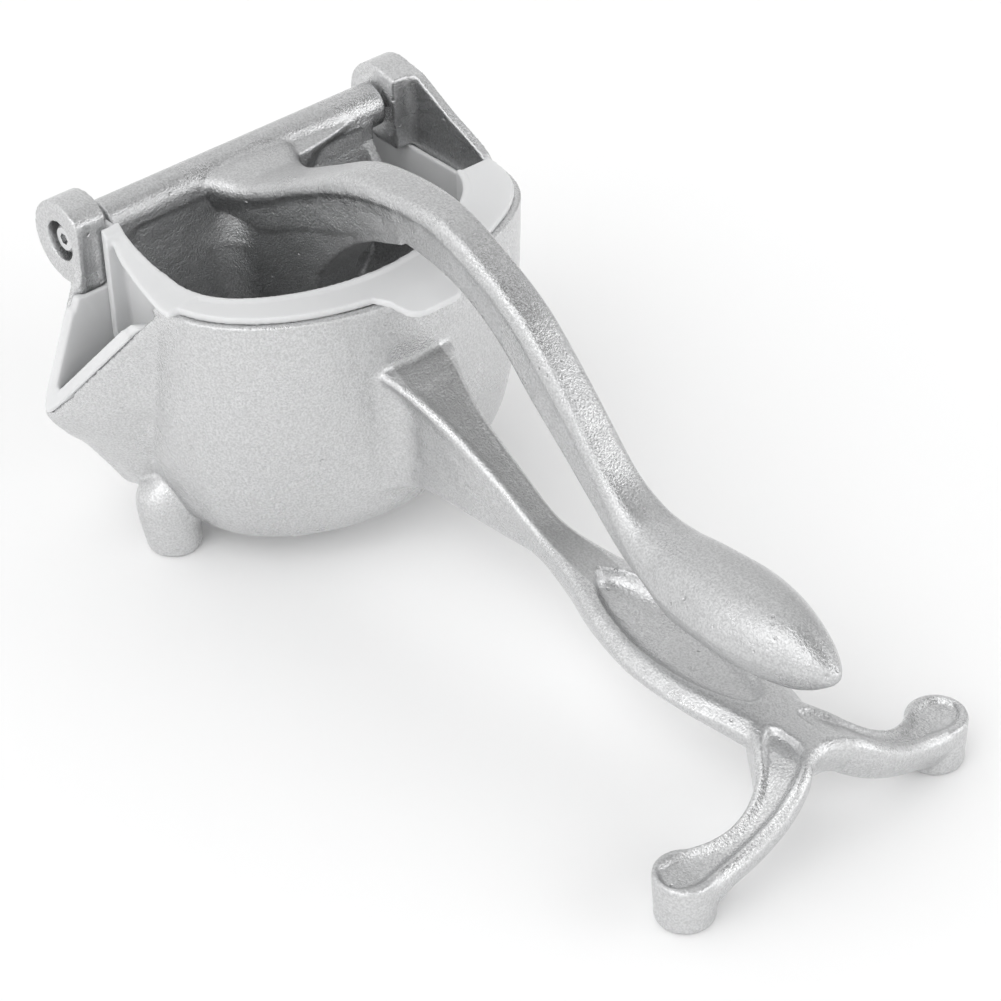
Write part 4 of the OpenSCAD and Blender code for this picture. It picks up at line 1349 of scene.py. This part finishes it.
class PRESS_OT_lever(bpy.types.Operator):
    """Build the hinged lever with its grip and press head"""
    bl_idname = "press.lever"
    bl_label = "Lever"

    def execute(self, context):
        settings = context.scene.press_cast
        lever = lever_casting()
        remesh(lever, settings.voxel)
        # where the lever is smoothed more: the top of its boss and the hollow of the press head
        x, y, z = drawn_points(lever).T
        boss = band(x, 16, 10, 6) * (np.abs(y) < 30) * np.clip((z - 92) / 3, 0, 1)
        hollow = (z < 86) * (x < 70)
        soften(lever, 4)
        soften(lever, 18, boss)
        soften(lever, 10, 0.8 * hollow)
        thin_out(lever, LEVER_TRIANGLES)
        # painted shade: the hollow of the press head has a slightly darkened colour
        alloy = cast_alloy(settings, "lever_skin", settings.lever_colour, LEVER_ROUGH_SHADE, settings.painted_shade_tone)
        finish_piece(lever, "lever", "lever", "lever_casting", alloy)
        return {"FINISHED"}


class PRESS_OT_basket(bpy.types.Operator):
    """Build the strainer basket with its rim, tab and splash wall"""
    bl_idname = "press.basket"
    bl_label = "Strainer Basket"

    def execute(self, context):
        settings = context.scene.press_plastic
        basket = filter_basket()
        remesh(basket, settings.voxel)
        soften(basket, 2)
        thin_out(basket, PLASTIC_TRIANGLES)
        plastic = milky_plastic(settings)
        finish_piece(basket, "strainer_basket", "base", "filter_basket", plastic)
        return {"FINISHED"}


class PRESS_OT_liner(bpy.types.Operator):
    """Build the thin liner of the cup and spout"""
    bl_idname = "press.liner"
    bl_label = "Cup Liner"

    def execute(self, context):
        settings = context.scene.press_plastic
        liner = cup_liner()
        remesh(liner, settings.voxel)
        soften(liner, 2)
        thin_out(liner, PLASTIC_TRIANGLES)
        finish_piece(liner, "liner", "base", "cup_liner", milky_plastic(settings))
        return {"FINISHED"}


class PRESS_OT_hardware(bpy.types.Operator):
    """Finish the hinge bolt and nut in bright steel and the washers in a dark colour that paints the shade
    of the ear recesses
    """
    bl_idname = "press.hardware"
    bl_label = "Hinge Hardware"

    def execute(self, context):
        settings = context.scene.press_steel
        bright = steel_skin(settings, "bright_steel_skin", settings.colour)
        # painted shade: the washers get a dark colour standing for the shade in the ear recesses
        dark = steel_skin(settings, "washer_shade_skin", settings.washer_shade_colour)
        for node, material in (("hinge_bolt", bright), ("hinge_nut", bright), ("hinge_washers", dark)):
            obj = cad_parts[node]
            obj.data.materials.clear()
            obj.data.materials.append(material)
        return {"FINISHED"}


# Camera: angles in degrees, distance and aim in the drawing's millimetres
CAMERA_TURN = 38.91
CAMERA_RISE = 36.58
CAMERA_ROLL = -2.19
CAMERA_LENS = 122.8
CAMERA_DISTANCE = 906.6
CAMERA_AIM = (111.5, -0.8, 40.0)


# Patches that the metal mirrors: direction, angle of the full patch, angle where it ends, change of tone
MIRROR_PATCHES = (((0.45, 0.2, 0.87), 14, 34, -0.9), ((0.80, 0.50, 0.33), 8, 24, 1.6),
                  ((0.25, -0.62, 0.74), 8, 26, 1.5), ((-0.1, 0.99, 0.05), 12, 40, -0.5),
                  ((-0.62, 0.50, 0.60), 16, 40, -0.16))


LAMP_AIM = Vector((0, 0, 0.05))


class PRESS_OT_stage(bpy.types.Operator):
    """Set up the floor, the soft lights and the camera"""
    bl_idname = "press.stage"
    bl_label = "Studio"

    def execute(self, context):
        settings = context.scene.press_studio
        scene = context.scene
        self.floor(settings)
        self.lights(settings)
        self.surroundings(scene, settings)
        self.camera(scene)
        scene.view_settings.view_transform = "Standard"
        return {"FINISHED"}

    def floor(self, settings):
        """Matt pale floor that shows a little brighter in the metal."""
        bpy.ops.object.select_all(action="DESELECT")
        bpy.ops.mesh.primitive_plane_add(size=60.0, location=(0, 0, 0))
        plane = bpy.context.active_object
        plane.name = "studio_floor"
        material, nodes, shader = base_material("studio_floor")
        tone = settings.floor_tone
        shader.inputs["Base Color"].default_value = (tone, tone, tone, 1)
        shader.inputs["Roughness"].default_value = 0.9
        shader.inputs["Specular IOR Level"].default_value = 0.0
        shader.inputs["Emission Color"].default_value = (1, 1, 1, 1)
        path = nodes.add("ShaderNodeLightPath")
        glow = nodes.math("MULTIPLY", path.outputs["Is Glossy Ray"], settings.floor_mirror)
        nodes.feed(glow, shader.inputs["Emission Strength"])
        plane.data.materials.append(material)

    def lamp(self, name, place, size, power):
        """Large flat lamp that faces the press."""
        data = bpy.data.lights.new(name, "AREA")
        data.shape = "RECTANGLE"
        data.size = size[0]
        data.size_y = size[1]
        data.energy = power
        lamp = bpy.data.objects.new(name, data)
        lamp.location = place
        bpy.context.scene.collection.objects.link(lamp)
        lamp.rotation_euler = (LAMP_AIM - lamp.location).to_track_quat("-Z", "Y").to_euler()

    def lights(self, settings):
        """One lamp behind the press on the right and a weaker one on the left."""
        self.lamp("lamp_right", (0.75, 0.75, 0.55), (0.9, 0.5), settings.key)
        self.lamp("lamp_left", (-0.1, -1.0, 0.6), (0.8, 0.6), settings.key * 0.8)

    def surroundings(self, scene, settings):
        """Pale surroundings with darker and brighter patches, seen as plain white by the camera."""
        world = bpy.data.worlds.new("studio")
        scene.world = world
        world.use_nodes = True
        tree = world.node_tree
        tree.nodes.clear()
        nodes = Nodes(tree)
        out = tree.nodes.new("ShaderNodeOutputWorld")
        view = nodes.add("ShaderNodeTexCoord").outputs["Generated"]
        mirrored = settings.mirror_tone
        for direction, near, wide, change in MIRROR_PATCHES:
            facing = nodes.add("ShaderNodeVectorMath", set_operation="DOT_PRODUCT")
            nodes.feed(view, facing.inputs[0])
            facing.inputs[1].default_value = Vector(direction).normalized()
            patch = nodes.add("ShaderNodeMapRange", Value=facing.outputs["Value"])
            patch.interpolation_type = "SMOOTHSTEP"
            patch.inputs["From Min"].default_value = math.cos(math.radians(wide))
            patch.inputs["From Max"].default_value = math.cos(math.radians(near))
            patch.inputs["To Min"].default_value = 0.0
            patch.inputs["To Max"].default_value = change
            mirrored = nodes.math("ADD", mirrored, patch.outputs[0])
        mirrored = nodes.math("MAXIMUM", mirrored, 0.02)
        path = nodes.add("ShaderNodeLightPath")
        pick = nodes.add("ShaderNodeMix", set_data_type="FLOAT")
        nodes.feed(path.outputs["Is Camera Ray"], pick.inputs["Factor"])
        nodes.feed(nodes.math("MULTIPLY", mirrored, settings.fill), pick.inputs["A"])
        pick.inputs["B"].default_value = 1.0
        back = nodes.add("ShaderNodeBackground", Color=(1, 1, 1, 1), Strength=pick.outputs["Result"])
        nodes.feed(back.outputs[0], out.inputs[0])

    def camera(self, scene):
        """Camera at the photo's place, rolled a little as it was."""
        a = math.radians(CAMERA_TURN)
        e = math.radians(CAMERA_RISE)
        r = math.radians(CAMERA_ROLL)
        forward = Vector((-math.cos(e) * math.cos(a), math.cos(e) * math.sin(a), -math.sin(e)))
        right = Vector((math.sin(a), math.cos(a), 0))
        up = right.cross(forward)
        right_turned = math.cos(r) * right + math.sin(r) * up
        up_turned = -math.sin(r) * right + math.cos(r) * up
        aim = Vector((CAMERA_AIM[0] + HINGE_X, CAMERA_AIM[1] + HINGE_Y, CAMERA_AIM[2])) * MM
        eye = aim - forward * CAMERA_DISTANCE * MM
        data = bpy.data.cameras.new("camera")
        data.sensor_width = 36.0
        data.lens = CAMERA_LENS
        camera = bpy.data.objects.new("camera", data)
        turn = Matrix((right_turned, up_turned, -forward)).transposed()
        camera.matrix_world = Matrix.Translation(eye) @ turn.to_4x4()
        scene.collection.objects.link(camera)
        scene.camera = camera


class PRESS_PT_panel(bpy.types.Panel):
    """Lists the pieces of the press"""
    bl_idname = "PRESS_PT_panel"
    bl_label = "Citrus Press"
    bl_space_type = "VIEW_3D"
    bl_region_type = "UI"
    bl_category = "Citrus Press"

    def draw(self, context):
        column = self.layout.column()
        for operator in OPERATORS:
            column.operator(operator.bl_idname)
        for name, _group in SETTINGS:
            box = self.layout.box()
            settings = getattr(context.scene, name)
            for key in settings.__annotations__:
                box.prop(settings, key)


OPERATORS = (PRESS_OT_body, PRESS_OT_lever, PRESS_OT_basket, PRESS_OT_liner, PRESS_OT_hardware,
             PRESS_OT_stage)


def register():
    """Registers the settings, the operators and the panel."""
    for name, group in SETTINGS:
        bpy.utils.register_class(group)
        setattr(bpy.types.Scene, name, bpy.props.PointerProperty(type=group))
    for operator in OPERATORS:
        bpy.utils.register_class(operator)
    bpy.utils.register_class(PRESS_PT_panel)


def unregister():
    """Takes everything back that register added."""
    bpy.utils.unregister_class(PRESS_PT_panel)
    for operator in reversed(OPERATORS):
        bpy.utils.unregister_class(operator)
    for name, group in reversed(SETTINGS):
        delattr(bpy.types.Scene, name)
        bpy.utils.unregister_class(group)


def main():
    """Builds every piece and the stage."""
    register()
    bpy.ops.press.body()
    bpy.ops.press.lever()
    bpy.ops.press.basket()
    bpy.ops.press.liner()
    bpy.ops.press.hardware()
    bpy.ops.press.stage()


if __name__ == "__main__":
    main()
